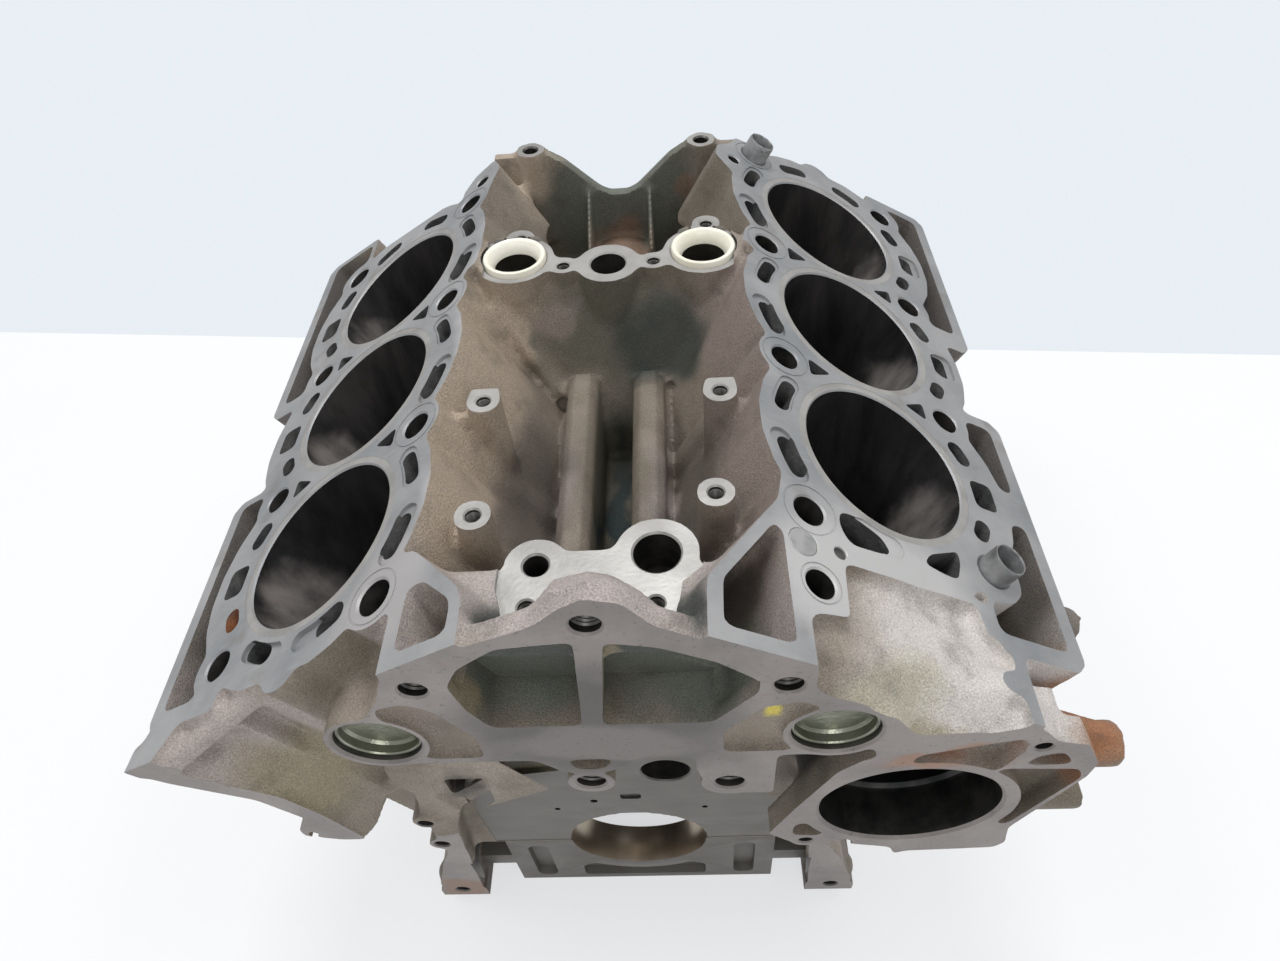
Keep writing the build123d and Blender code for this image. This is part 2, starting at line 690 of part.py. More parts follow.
def pieces():
    spans = main_spans()
    made = {"cylinder_block": cylinder_block(), "front_main_cap": front_cap(*spans[0])}
    for number, span in enumerate(spans[1:-1], start=2):
        made[f"main_cap_{number}"] = main_cap(*span)
    made["rear_main_cap"] = main_cap(*spans[-1])
    bolts = [cap_bolt(x, (front + back) / 2) for front, back in spans for x in (-cap_bolt_x, cap_bolt_x)]
    made["main_cap_bolts"] = Compound(children=bolts)
    made["core_plug_left"] = core_plug(-core_plug_x)
    made["core_plug_right"] = core_plug(core_plug_x)
    made["valley_sleeve_left"] = sleeve(-sleeve_x)
    made["valley_sleeve_right"] = sleeve(sleeve_x)
    for name, place in dowel_places().items():
        made[f"{name}_head_dowel"] = head_dowel(place)
    made["gallery_plug"] = bank_prism(round_at(-53.5, 25.7, gallery_plug_radius), 0, gallery_plug_depth)
    return made


if __name__ == "__main__":
    os.makedirs("parts", exist_ok=True)
    for name, piece in pieces().items():
        export_step(piece, f"parts/{name}.step")
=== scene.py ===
import bmesh
import bpy
from math import cos, hypot, pi, radians, sin
from mathutils import Matrix, Vector


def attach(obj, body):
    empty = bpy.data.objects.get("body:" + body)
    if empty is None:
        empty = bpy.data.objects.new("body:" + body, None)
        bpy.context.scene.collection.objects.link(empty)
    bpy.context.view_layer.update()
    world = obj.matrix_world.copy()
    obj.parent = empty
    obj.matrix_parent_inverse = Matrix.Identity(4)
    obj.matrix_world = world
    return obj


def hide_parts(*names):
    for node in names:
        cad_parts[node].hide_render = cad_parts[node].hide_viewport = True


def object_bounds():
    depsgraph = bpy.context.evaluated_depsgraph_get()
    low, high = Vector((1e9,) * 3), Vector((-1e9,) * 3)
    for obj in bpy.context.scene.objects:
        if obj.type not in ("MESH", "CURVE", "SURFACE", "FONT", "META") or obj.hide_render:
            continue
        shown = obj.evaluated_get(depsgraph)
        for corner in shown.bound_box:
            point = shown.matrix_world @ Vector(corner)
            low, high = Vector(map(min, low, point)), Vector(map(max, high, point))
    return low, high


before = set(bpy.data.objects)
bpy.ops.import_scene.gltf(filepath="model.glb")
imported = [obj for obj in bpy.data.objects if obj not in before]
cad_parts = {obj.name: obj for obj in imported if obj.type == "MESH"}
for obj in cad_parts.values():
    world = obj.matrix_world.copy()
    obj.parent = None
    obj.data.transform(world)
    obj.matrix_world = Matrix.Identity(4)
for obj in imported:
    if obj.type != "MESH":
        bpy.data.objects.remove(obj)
cad_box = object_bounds()

# Sizes in millimetres, the same as in the part's source
half_angle = radians(30)
deck_height = 254.3
bore_pitch = 93.35
left_first_bore = 55.7
right_first_bore = 90.0
bore_radius = 42.0
bore_depth = 142.3
head_bolt_offset = 48.0
head_bolt_radius = 7.2
head_bolt_depth = 45.0
coolant_ring_radius = 55.5
coolant_depth = 32.0
deck_lobe_reach = 63.0
deck_lobe_radius = 10.5
flange_station = -28.3
crank_wall_station = -12.3
block_length = 350.0
pad_height = 250.0
rear_boss_x = 54.3
rear_boss_station = block_length - 3
rear_boss_depth = 5.0
pan_rail = -58.0
main_bore_radius = 39.0
chamber_half_width = 98.0
core_plug_x = 91.0
core_plug_z = 195.0
core_plug_radius = 17.6
core_plug_setback = 3.0
core_plug_height = 7.5
pump_x = 131.3
pump_z = 116.5
pump_bore_radius = 36.5
sleeve_x = 50.5
sleeve_station = 219.5
bridge_station = 212.0
dowel_radius = 8.0
dowel_proud = 10.5
dowel_seat_depth = 12.0
cap_bottom = -68.0
cap_thickness = 38.0
cap_bolt_x = 50.0

# Features that the scene rounds or machines, in millimetres
pump_seat_radius = 40.5
bore_face_radius = 46.3
barrel_depth = 165.0
corner_bolt_station = 8.0
plug_a, plug_y = -53.5, 25.7
plug_seat_radius = 6.55
small_flange_holes = [(174.5, 177), (87.5, 75.5)]
gallery_x, gallery_z = 20, 95
wall_bosses = [(106.5, 33), (105.5, 71.5)]
valley_bosses = [(-50, 43), (48.5, 50), (-54, 110), (53.5, 110), (-49.5, 240), (53, 244)]
pad_screws = [(-24, -2), (24, -2), (-24, bridge_station), (24, bridge_station)]
# Valley pads: x, y, hole radius, boss radius, boss depth
pad_holes = [(-22, 17, 5.0, 12.5, 90), (24.5, 21, 9.3, 16.5, 90), (0, bridge_station, 9.3, 16.8, 60)]
# Cover face: x, z, depth, radius
flange_holes = [
    (2.5, 278, 9.5, 5.4), (-65, 238, 14, 5.4), (70.5, 234, 14, 5.4),
    (-9.5, 152.5, 14, 6.3), (50, 149, 22, 6.3),
]
# The last hole of each deck: out from the bore line, along the crank, boss radius, hole radius
rear_lugs = {
    -1: (-54.5, left_first_bore + 252, 8, 4.4),
    1: (-63, right_first_bore + 2 * bore_pitch + 31, 7, 3.6),
}

# How the cast skin is made
stock = 3.0  # left on the machined faces until they are cut flat
voxel = 2.0
casting_triangles = 135000
over = 5.0  # how far a cutter stands out of the face it cuts
tolerance = 0.05  # how close a point is to a face to lie in it
ahead = -60  # in front of the whole block
behind = 400  # past its rear
aside = 250  # past either side


# Places

def bank_place(side):
    """Outward from the bore line, along the crank, and below the deck of one bank."""
    lean = sin(half_angle)
    rise = cos(half_angle)

    def place(a, y, depth):
        up = deck_height - depth
        return (side * (lean * up + rise * a), y, rise * up - lean * a)
    return place


def front_place(x, z, back):
    """In front view, back from the cover face."""
    return (x, flange_station + back, z)


def crank_place(x, z, y):
    """In front view, back from the front bulkhead."""
    return (x, y, z)


def plan_place(x, y, down):
    """In plan view, down from the valley pads."""
    return (x, y, pad_height - down)


def own_place(x, y, z):
    """Plain coordinates."""
    return (x, y, z)


# Solids as vertices and faces

def loft(rings):
    """Closed rings of points, in order, as one closed solid."""
    count = len(rings[0])
    vertices = [p for ring in rings for p in ring]
    faces = [list(range(count))[::-1], [count * (len(rings) - 1) + i for i in range(count)]]
    for k in range(len(rings) - 1):
        for i in range(count):
            j = (i + 1) % count
            faces.append([k * count + i, k * count + j, (k + 1) * count + j, (k + 1) * count + i])
    return vertices, faces


def band(rings):
    """Closed rings of points that go round to the first again, as one closed solid with a hole."""
    count = len(rings[0])
    vertices = [p for ring in rings for p in ring]
    faces = []
    for k in range(len(rings)):
        after = (k + 1) % len(rings)
        for i in range(count):
            j = (i + 1) % count
            faces.append([k * count + i, k * count + j, after * count + j, after * count + i])
    return vertices, faces


def circle(place, u, v, radius, depth, sides):
    turn = [2 * pi * i / sides for i in range(sides)]
    return [place(u + radius * cos(t), v + radius * sin(t), depth) for t in turn]


def prism(place, outline, top, bottom):
    """An outline between two depths."""
    return loft([[place(u, v, w) for u, v in outline] for w in (bottom, top)])


def box(place, u0, u1, v0, v1, top, bottom):
    return prism(place, [(u0, v0), (u1, v0), (u1, v1), (u0, v1)], top, bottom)


def turned(place, u, v, profile, sides=48):
    """A round solid: the profile gives its radius and depth from one end to the other."""
    return loft([circle(place, u, v, radius, depth, sides) for radius, depth in profile])


def column(place, u, v, radius, top, bottom, sides=48):
    return turned(place, u, v, [(radius, bottom), (radius, top)], sides)


def lump(centre, reach, sides=24):
    """An ellipsoid."""
    rings = []
    for k in range(1, sides // 2):
        t = pi * k / (sides // 2)
        ring = []
        for i in range(sides):
            s = 2 * pi * i / sides
            ring.append((
                centre[0] + reach[0] * sin(t) * cos(s),
                centre[1] + reach[1] * sin(t) * sin(s),
                centre[2] - reach[2] * cos(t),
            ))
        rings.append(ring)
    return loft(rings)


def rod(start, end, radius, sides=20):
    """A round bar between two points."""
    run = Vector(end) - Vector(start)
    turn = run.to_track_quat("Z", "Y")
    spokes = [Vector(p) for p in circle(own_place, 0, 0, radius, 0, sides)]
    rings = []
    for t in (0, 1):
        middle = Vector(start) + run * t
        rings.append([tuple(middle + turn @ spoke) for spoke in spokes])
    return loft(rings)


def rounded(points, radius, steps=5):
    """An outline with rounded corners."""
    outline = []
    count = len(points)
    for i in range(count):
        here = Vector(points[i])
        before = Vector(points[i - 1]) - here
        after = Vector(points[(i + 1) % count]) - here
        reach = min(radius, before.length * 0.48, after.length * 0.48)
        start = here + before.normalized() * reach
        end = here + after.normalized() * reach
        for k in range(steps + 1):
            t = k / steps
            outline.append(tuple(start * (1 - t) ** 2 + here * 2 * t * (1 - t) + end * t ** 2))
    return outline


def rounded_box(u, v, width, height, radius):
    """The outline of a box with rounded corners, about its middle."""
    u0, u1 = u - width / 2, u + width / 2
    v0, v1 = v - height / 2, v + height / 2
    return rounded([(u0, v0), (u1, v0), (u1, v1), (u0, v1)], radius)


def arc_slot(y, radius, degrees, half_length, width, steps=9):
    """A slot with round ends that follows the circle round a bore."""
    angle = radians(degrees)
    turn = half_length / radius
    half = width / 2
    points = []
    for k in range(steps + 1):
        t = angle - turn + 2 * turn * k / steps
        points.append(((radius + half) * cos(t), y + (radius + half) * sin(t)))
    for k in range(1, steps):
        t = angle + turn + pi * k / steps
        a = radius * cos(angle + turn) + half * cos(t)
        points.append((a, y + radius * sin(angle + turn) + half * sin(t)))
    for k in range(steps + 1):
        t = angle + turn - 2 * turn * k / steps
        points.append(((radius - half) * cos(t), y + (radius - half) * sin(t)))
    for k in range(1, steps):
        t = angle - turn + pi + pi * k / steps
        a = radius * cos(angle - turn) + half * cos(t)
        points.append((a, y + radius * sin(angle - turn) + half * sin(t)))
    return points


def hole(place, u, v, radius, depth, bevel=0.8, sides=40):
    """A drilled hole with a bevelled mouth."""
    profile = [(radius, depth), (radius, bevel), (radius + bevel, 0), (radius + bevel, -over)]
    return turned(place, u, v, profile, sides)


def threaded_hole(place, u, v, radius, depth, start, bevel=0.8, pitch=2.0, sides=32):
    """A tapped hole: the thread begins some way below the mouth."""
    profile = [(radius, depth)]
    level = depth
    while level - pitch > start:
        profile.append((radius - 0.5, level - pitch * 0.5))
        profile.append((radius + 0.2, level - pitch))
        level -= pitch
    profile += [(radius, start), (radius, bevel), (radius + bevel, 0), (radius + bevel, -over)]
    return turned(place, u, v, profile, sides)


def groove(place, u, v, inner, outer, depth, sides=64):
    """A shallow ring cut into a face."""
    section = ((inner, depth), (inner, -over), (outer, -over), (outer, depth))
    return band([circle(place, u, v, radius, level, sides) for radius, level in section])


# Meshes

def add_object(name, mesh):
    piece = bpy.data.objects.new(name, mesh)
    bpy.context.scene.collection.objects.link(piece)
    return piece


def mesh_object(name, made):
    """One object of several solids, with their faces turned outward."""
    vertices = []
    faces = []
    for some_vertices, some_faces in made:
        start = len(vertices)
        vertices += [Vector(v) * 0.001 for v in some_vertices]
        faces += [[i + start for i in face] for face in some_faces]
    mesh = bpy.data.meshes.new(name)
    mesh.from_pydata(vertices, [], faces)
    bm = bmesh.new()
    bm.from_mesh(mesh)
    bmesh.ops.recalc_face_normals(bm, faces=bm.faces)
    bm.to_mesh(mesh)
    bm.free()
    return add_object(name, mesh)


def apply_modifiers(piece):
    """Makes the modified mesh the piece's own."""
    graph = bpy.context.evaluated_depsgraph_get()
    mesh = bpy.data.meshes.new_from_object(piece.evaluated_get(graph))
    piece.modifiers.clear()
    old = piece.data
    piece.data = mesh
    bpy.data.meshes.remove(old)


def dress(piece, *materials):
    """Gives a piece these materials and no others."""
    piece.data.materials.clear()
    for made in materials:
        piece.data.materials.append(made)


def cut(piece, made, finish=0, rim=None):
    """Cuts solids out of a piece. The new faces get a finish.

    A rim is a normal, a height along it and a finish, for new faces that lie in that plane.
    """
    cutter = mesh_object("cutter", made)
    dress(cutter, *piece.data.materials)
    for face in cutter.data.polygons:
        face.material_index = finish
        if rim is not None:
            axis, level, bright = rim
            if abs(face.center.dot(axis) * 1000 - level) < 1.0:
                face.material_index = bright
    change = piece.modifiers.new("cut", "BOOLEAN")
    change.operation = "DIFFERENCE"
    change.solver = "MANIFOLD"
    change.material_mode = "INDEX"
    change.object = cutter
    apply_modifiers(piece)
    bpy.data.objects.remove(cutter)


def soften_edges(piece, width, degrees=30):
    """A small bevel on each edge that is sharper than the angle."""
    bevel = piece.modifiers.new("edges", "BEVEL")
    bevel.width = width * 0.001
    bevel.segments = 2
    bevel.limit_method = "ANGLE"
    bevel.angle_limit = radians(degrees)


def shade(piece, degrees=35):
    """Smooth shading, with edges over the angle kept crisp."""
    bm = bmesh.new()
    bm.from_mesh(piece.data)
    for face in bm.faces:
        face.smooth = True
    for edge in bm.edges:
        edge.smooth = len(edge.link_faces) == 2 and edge.calc_face_angle(0) < radians(degrees)
    bm.to_mesh(piece.data)
    bm.free()


# The casting: its cast skin first, then everything that is machined into it

def bore_stations(side):
    first = right_first_bore if side > 0 else left_first_bore
    return [first + i * bore_pitch for i in range(3)]


def bolt_stations(side):
    first = right_first_bore if side > 0 else left_first_bore
    return [first + (i - 0.5) * bore_pitch for i in range(4)]


def push_faces(bm):
    """Moves each machined face outward by the stock that is cut off again later."""
    normals = [Vector((side * sin(half_angle), 0, cos(half_angle))) for side in (-1, 1)]
    for v in bm.verts:
        p = v.co * 1000
        move = Vector((0, 0, 0))
        for normal in normals:
            if abs(p.dot(normal) - deck_height) < tolerance:
                move += normal
        if abs(p.y - flange_station) < tolerance:
            move.y -= 1
        if abs(p.y - crank_wall_station) < tolerance and p.z < 50:
            move.y -= 1
        if abs(p.y - block_length) < tolerance:
            move.y += 1
        if abs(p.z - pad_height) < tolerance and p.y > flange_station + 1:
            move.z += 1
        if abs(p.z - pan_rail) < tolerance:
            move.z -= 1
        if abs(p.z) < tolerance and abs(p.x) < chamber_half_width + 0.1:
            move.z -= 1
        v.co += move * (stock * 0.001)


def deck_fillers(side):
    """Fills what is machined into one deck, and rounds its lobes."""
    place = bank_place(side)
    made = []
    for y in bore_stations(side):
        made.append(column(place, 0, y, bore_radius + 1.5, -stock, bore_depth))
        made.append(column(place, 0, y, coolant_ring_radius + 7.5, -stock, coolant_depth + 1, 72))
    for y in bolt_stations(side):
        for a in (-head_bolt_offset, head_bolt_offset):
            made.append(column(place, a, y, 12, -stock, head_bolt_depth + 2))
            made.append(column(place, a, y, 14.5, -stock, 30))
    lobe = left_first_bore - deck_lobe_reach
    if side > 0:
        lobe = bore_stations(side)[-1] + deck_lobe_reach
        made.append(column(place, -head_bolt_offset, corner_bolt_station, 11, -stock, head_bolt_depth + 2))
        made.append(column(place, plug_a, plug_y, 9, -stock, 12))
    a, y, boss_radius, _ = rear_lugs[side]
    made.append(column(place, a, y, boss_radius, -stock, 32))
    made.append(column(place, 0, lobe, deck_lobe_radius, -stock, 30))
    return made


def front_fillers():
    """Fills the holes of the front end and rounds the bosses they stand in."""
    made = []
    for x, z, depth, _ in flange_holes:
        made.append(column(front_place, x, z, 8, -stock, depth))
    for (x, z, _, _), radius, depth in zip(flange_holes[3:], (10.5, 12.5), (16, 28)):
        made.append(column(front_place, x, z, radius, -stock, depth))
    made.append(column(front_place, pump_x, pump_z, 48, -stock, 34, 72))
    made.append(column(front_place, pump_x, pump_z, 43, -stock, 60, 72))
    for x, z in small_flange_holes:
        made.append(column(front_place, x, z, 7, -stock, 12))
    made.append(column(crank_place, gallery_x, gallery_z, 14, 0.2, 20))
    for flip in (-1, 1):
        made.append(column(front_place, flip * core_plug_x, core_plug_z, 21, -stock, 16, 64))
        for x, z in wall_bosses:
            made.append(column(crank_place, flip * x, z, 7.2, crank_wall_station - stock, 10))
    return made


def valley_fillers():
    """Fills the valley's holes, and rounds its pads and bosses."""
    made = []
    for x, y in valley_bosses:
        made.append(column(plan_place, x, y, 7.9, -stock, 75))
    for x, y, _, boss_radius, depth in pad_holes:
        made.append(column(plan_place, x, y, boss_radius, -stock, depth))
    for x, y in pad_screws:
        boss_radius, depth = (7.4, 60) if y == bridge_station else (6, 40)
        made.append(column(plan_place, x, y, boss_radius, -stock, depth))
    for flip in (-1, 1):
        made.append(column(plan_place, flip * sleeve_x, sleeve_station, 21.3, -stock, 90))
        made.append(column(plan_place, flip * rear_boss_x, rear_boss_station, 9.3, 4, 70))
    return made


def cast_shapes():
    """Cast ridges and mounds, and the ribs that run from the bridge to the rear wall."""
    made = [
        rod((-66, 338, 222), (-30, 236, 170), 8),
        rod((66, 338, 222), (30, 236, 170), 8),
        lump((0, 326, 168), (24, 30, 16)),
        lump((0, 262, 160), (20, 26, 9)),
        rod((-62, 201, 236), (-31, 180, 186), 4.5),
        rod((62, 201, 238), (33, 182, 190), 3.5),
        lump((150, -12, 196), (20, 9, 8)),
        lump((116, -16, 190), (9, 7, 7)),
    ]
    for x, y in valley_bosses[2:4]:
        made.append(box(plan_place, x - 7.2, x + 7.2, y - 1, y + 8, -stock, 50))
    for flip in (-1, 1):
        made.append(lump((flip * 118, -4, -38), (9, 9, 10)))
        for k in range(3):
            made.append(rod((flip * (96 + 3 * k), -8, 20 - 6 * k), (flip * (100 + 4 * k), -8, -40), 2.2, 12))
    return made


def block_skin():
    """The block's node with its holes filled and its cast forms added, as one soft skin."""
    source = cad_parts["cylinder_block"]
    bm = bmesh.new()
    bm.from_mesh(source.data)
    bm.transform(source.matrix_world)
    bmesh.ops.remove_doubles(bm, verts=bm.verts, dist=1e-6)
    push_faces(bm)
    solids = deck_fillers(-1) + deck_fillers(1) + front_fillers() + valley_fillers() + cast_shapes()
    filler = mesh_object("filler", solids)
    bm.from_mesh(filler.data)
    bpy.data.objects.remove(filler)
    mesh = bpy.data.meshes.new("casting")
    bm.to_mesh(mesh)
    bm.free()
    piece = add_object("casting", mesh)
    remesh = piece.modifiers.new("remesh", "REMESH")
    remesh.mode = "VOXEL"
    remesh.voxel_size = voxel * 0.001
    smooth = piece.modifiers.new("smooth", "SMOOTH")
    smooth.factor = 0.5
    smooth.iterations = 4
    apply_modifiers(piece)
    thin = piece.modifiers.new("thin", "DECIMATE")
    thin.ratio = min(1.0, casting_triangles / (2 * len(piece.data.polygons)))
    apply_modifiers(piece)
    return piece


def flat_faces():
    """The cutters that take the stock off each machined face, and the finish each leaves."""
    groups = []
    for side in (-1, 1):
        groups.append((DECK, [box(bank_place(side), -108, 110, ahead, behind, -30, 0)]))
    groups.append((FLANGE, [box(front_place, -aside, aside, 50, 330, -30, 0)]))
    walls = []
    for flip in (-1, 1):
        walls.append(box(crank_place, flip * 84, flip * 128, -90, 50, ahead, crank_wall_station))
    groups.append((FLANGE, walls))
    groups.append((BULKHEAD, [box(crank_place, -aside, aside, -90, 180, behind, block_length)]))
    upper_rear = [box(crank_place, -44, 44, 181, 260, behind, block_length)]
    for flip in (-1, 1):
        upper_rear.append(box(crank_place, flip * 64.5, flip * aside, 181, 300, behind, block_length))
    groups.append((BULKHEAD, upper_rear))
    front_pad = [(-31, -12), (31.5, -12), (34, 5), (42, 12), (42, 39), (-36, 39), (-36, 5)]
    pads = [prism(plan_place, front_pad, -stock - 1, 0), box(plan_place, -66, 66, 193, 236, -stock - 1, 0)]
    for x, y in valley_bosses[:4]:
        pads.append(column(plan_place, x, y, 12.5, -stock - 1, 0))
    for x, y in valley_bosses[4:]:
        pads.append(box(plan_place, x - 10, x + 10, 236.5, y + 10, -stock - 1, 0))
    groups.append((PAD, pads))
    rear_seats = []
    for flip in (-1, 1):
        rear_seats.append(column(plan_place, flip * rear_boss_x, rear_boss_station, 13, 0, rear_boss_depth))
    groups.append((PAD, rear_seats))
    groups.append((BULKHEAD, [box(crank_place, -aside, aside, pan_rail - 20, pan_rail, ahead, behind)]))
    inside = chamber_half_width
    groups.append((BULKHEAD, [box(crank_place, -inside, inside, -70, 0, ahead, behind)]))
    bulkhead = [(-84, 1), (84, 1), (82, 52), (72, 60), (68, 90), (68, 134), (-68, 134), (-80, 100), (-86, 50)]
    groups.append((BULKHEAD, [prism(crank_place, bulkhead, -10, 0.2)]))
    return groups


def below(points, top):
    """The part of an outline that lies under a height."""
    kept = []
    for i, (x, z) in enumerate(points):
        before_x, before_z = points[i - 1]
        if (z <= top) != (before_z <= top):
            t = (top - before_z) / (z - before_z)
            kept.append((before_x + t * (x - before_x), top))
        if z <= top:
            kept.append((x, z))
    return kept


def front_pockets():
    """The stepped pockets of the cover face, and the dark hollows under it."""
    left_pocket = [(-3, 268), (-30, 265), (-46, 252), (-52, 240), (-49, 222), (-42, 207), (-7, 207)]
    right_pocket = [(7, 267), (25, 263), (45, 252), (60, 238), (60, 230), (43, 207), (1, 207)]
    layers = []
    for top, depth in ((270, 6), (249, 14), (238, 22)):
        made = []
        for pocket in (left_pocket, right_pocket):
            made.append(prism(front_place, rounded(below(pocket, top), 4), -over, depth))
        layers.append(made)
    hollows = [
        [(-86, 97), (-86, 116), (-66, 116)],
        [(-83, 84), (-66, 104), (-66, 88), (-80, 72)],
        [(71, 98), (78, 116), (94, 156), (94, 172), (71, 172)],
    ]
    layers.append([prism(crank_place, rounded(points, 3), -14, 22) for points in hollows])
    panel = rounded([(-62, 93), (-31, 99), (-31, 114), (-62, 116)], 4)
    layers.append([prism(crank_place, panel, -4, 3)])
    return layers


def slots(side):
    """Coolant slots of one deck, and the shallow ledges round them."""
    place = bank_place(side)
    ring = coolant_ring_radius
    deep = []
    shallow = []
    stations = bore_stations(side)
    for number, y in enumerate(stations):
        wide = 13 if side < 0 or number == 0 else 10
        deep.append(rounded_box(57.5, y, wide, 17, 4))
        deep.append(arc_slot(y, ring, 26, 3.2, 9))
        deep.append(arc_slot(y, ring - 1, -26, 2.6, 8.4))
        deep.append(arc_slot(y, ring - 0.5, 159, 7.0, 7.6))
        deep.append(arc_slot(y, ring, 199, 7.0, 8.0))
        shallow.append((arc_slot(y, ring + 2.5, 199, 9.5, 11), 1.6))
        shallow.append((arc_slot(y, ring, 159, 8.5, 10.5), 0.9))
        if wide < 13:
            shallow.append((rounded_box(60, y, 13, 19, 5), 1.5))
    first = stations[0]
    if side > 0:
        inner_corner = [(-33, 48), (-25, 48.5), (-12, 42), (-9, 35), (-14, 32.5), (-30, 32), (-34, 40)]
        outer_corner = [(8, 35), (12, 41), (29, 48), (29, 42), (25, 32), (18, 32.5)]
        deep.append(rounded(inner_corner, 5))
        deep.append(rounded(outer_corner, 4))
        shallow.append((arc_slot(first, 52.5, -107, 7.5, 12), 0.8))
    else:
        deep.append(arc_slot(first, 53, -65.5, 4.4, 9))
        deep.append(arc_slot(first, 53, -115.5, 4.4, 9))
        shallow.append((arc_slot(first, 53.6, -71, 9.5, 10), 2.2))
        shallow.append((arc_slot(first, 53.6, -109, 9.5, 10), 2.2))
    for degrees in (67.5, 110):
        deep.append(arc_slot(stations[-1], ring, degrees, 6.5, 8.2))
    for y in bolt_stations(side)[1:-1]:
        for flip in (-1, 1):
            deep.append(rounded([(flip * 34.5, y - 6), (flip * 34.5, y + 6), (flip * 22, y)], 3))
    shallow_cuts = [prism(place, outline, -over, depth) for outline, depth in shallow]
    return [prism(place, outline, -over, coolant_depth) for outline in deep], shallow_cuts


def deck_holes(side):
    """Bolt holes, seats and marks of one deck."""
    place = bank_place(side)
    made = []
    grooves = []
    stations = bolt_stations(side)
    seated = [(side * head_bolt_offset, stations[0]), (-side * head_bolt_offset, stations[-1])]
    seat = dowel_radius + 0.05
    for y in stations:
        for a in (-head_bolt_offset, head_bolt_offset):
            if (a, y) in seated:
                profile = [
                    (head_bolt_radius, head_bolt_depth), (head_bolt_radius, dowel_seat_depth),
                    (seat, dowel_seat_depth), (seat, 0.9), (dowel_radius + 1, 0), (dowel_radius + 1, -over),
                ]
                made.append(turned(place, a, y, profile))
            else:
                made.append(threaded_hole(place, a, y, head_bolt_radius, head_bolt_depth, 12))
            if a < 0:
                grooves.append(groove(place, a, y, 11.8, 12.8, 0.35))
    if side > 0:
        made.append(threaded_hole(place, -head_bolt_offset, corner_bolt_station, 6.6, head_bolt_depth, 12))
        made.append(hole(place, plug_a, plug_y, plug_seat_radius, 8, 0.3))
        made.append(hole(place, -36, 26, 3, 1.2, 0.4))
        grooves.append(groove(place, -head_bolt_offset, corner_bolt_station, 8.6, 9.4, 0.5))
    a, y, _, radius = rear_lugs[side]
    made.append(hole(place, a, y, radius, 30))
    return made, grooves


def bores(side):
    """The bright ring round each bore, and the bores with their bevels."""
    place = bank_place(side)
    bevel = 0.9
    mouth = bore_radius + bevel
    rings = [column(place, 0, y, bore_face_radius, -over, 0.15, 96) for y in bore_stations(side)]
    profile = [(bore_radius, barrel_depth), (bore_radius, bevel), (mouth, 0), (mouth, -over)]
    return rings, [turned(place, 0, y, profile, 128) for y in bore_stations(side)]


def front_holes():
    """Holes of the cover face, the seats of the core plugs and the stepped pump bore."""
    made = []
    for x, z, depth, radius in flange_holes:
        made.append(threaded_hole(front_place, x, z, radius, depth, 3, 0.9, 1.5))
    for x, z in small_flange_holes:
        made.append(hole(front_place, x, z, 3.4, 12))
    back = core_plug_setback + core_plug_height
    for flip in (-1, 1):
        profile = [(core_plug_radius, back), (core_plug_radius, 1.2), (core_plug_radius + 1.2, 0)]
        profile.append((core_plug_radius + 1.2, -over))
        made.append(turned(front_place, flip * core_plug_x, core_plug_z, profile, 64))
    inner = pump_bore_radius
    outer = pump_seat_radius
    profile = [(inner, 58), (inner, 26), (inner + 2, 24), (outer, 24), (outer, 1.5), (outer + 1.5, 0)]
    profile.append((outer + 1.5, -over))
    made.append(turned(front_place, pump_x, pump_z, profile, 96))
    return made


def crank_holes():
    """The oil gallery and small holes of the front bulkhead, and those of the walls beside it."""
    made = [turned(crank_place, gallery_x, gallery_z, [(12.3, 20), (12.3, 1), (13.2, 0), (13.2, -5)], 48)]
    for x, z, radius in ((-41, 48, 1.6), (39, 47, 1.6), (-20, 58, 2)):
        made.append(column(crank_place, x, z, radius, -2, 3, 20))
    made.append(prism(crank_place, rounded_box(0, 63.5, 11, 7, 2.5), -2, 1.5))
    for flip in (-1, 1):
        for x, z in wall_bosses + [(113, -47.5)]:
            station = crank_wall_station - (stock if z > 50 else 0)
            profile = [(4, station + 22), (4, station + 0.8), (4.8, station), (4.8, -40)]
            made.append(turned(crank_place, flip * x, z, profile, 32))
    return made


def valley_holes():
    """Holes of the pads and bosses, and the seats of the sleeves."""
    made = []
    for x, y, radius, _, _ in pad_holes:
        made.append(hole(plan_place, x, y, radius, 22))
    for x, y in pad_screws + valley_bosses:
        made.append(threaded_hole(plan_place, x, y, 3.3, 20, 2, 0.7, 1.2, 24))
    for flip in (-1, 1):
        profile = [(12.4, 70), (12.4, 21.2), (17.1, 21), (17.1, 0.8), (18, 0), (18, -over)]
        made.append(turned(plan_place, flip * sleeve_x, sleeve_station, profile, 64))
        profile = [(4.2, 30), (4.2, rear_boss_depth + 1), (5.2, rear_boss_depth), (5.2, 0)]
        made.append(turned(plan_place, flip * rear_boss_x, rear_boss_station, profile, 32))
    return made


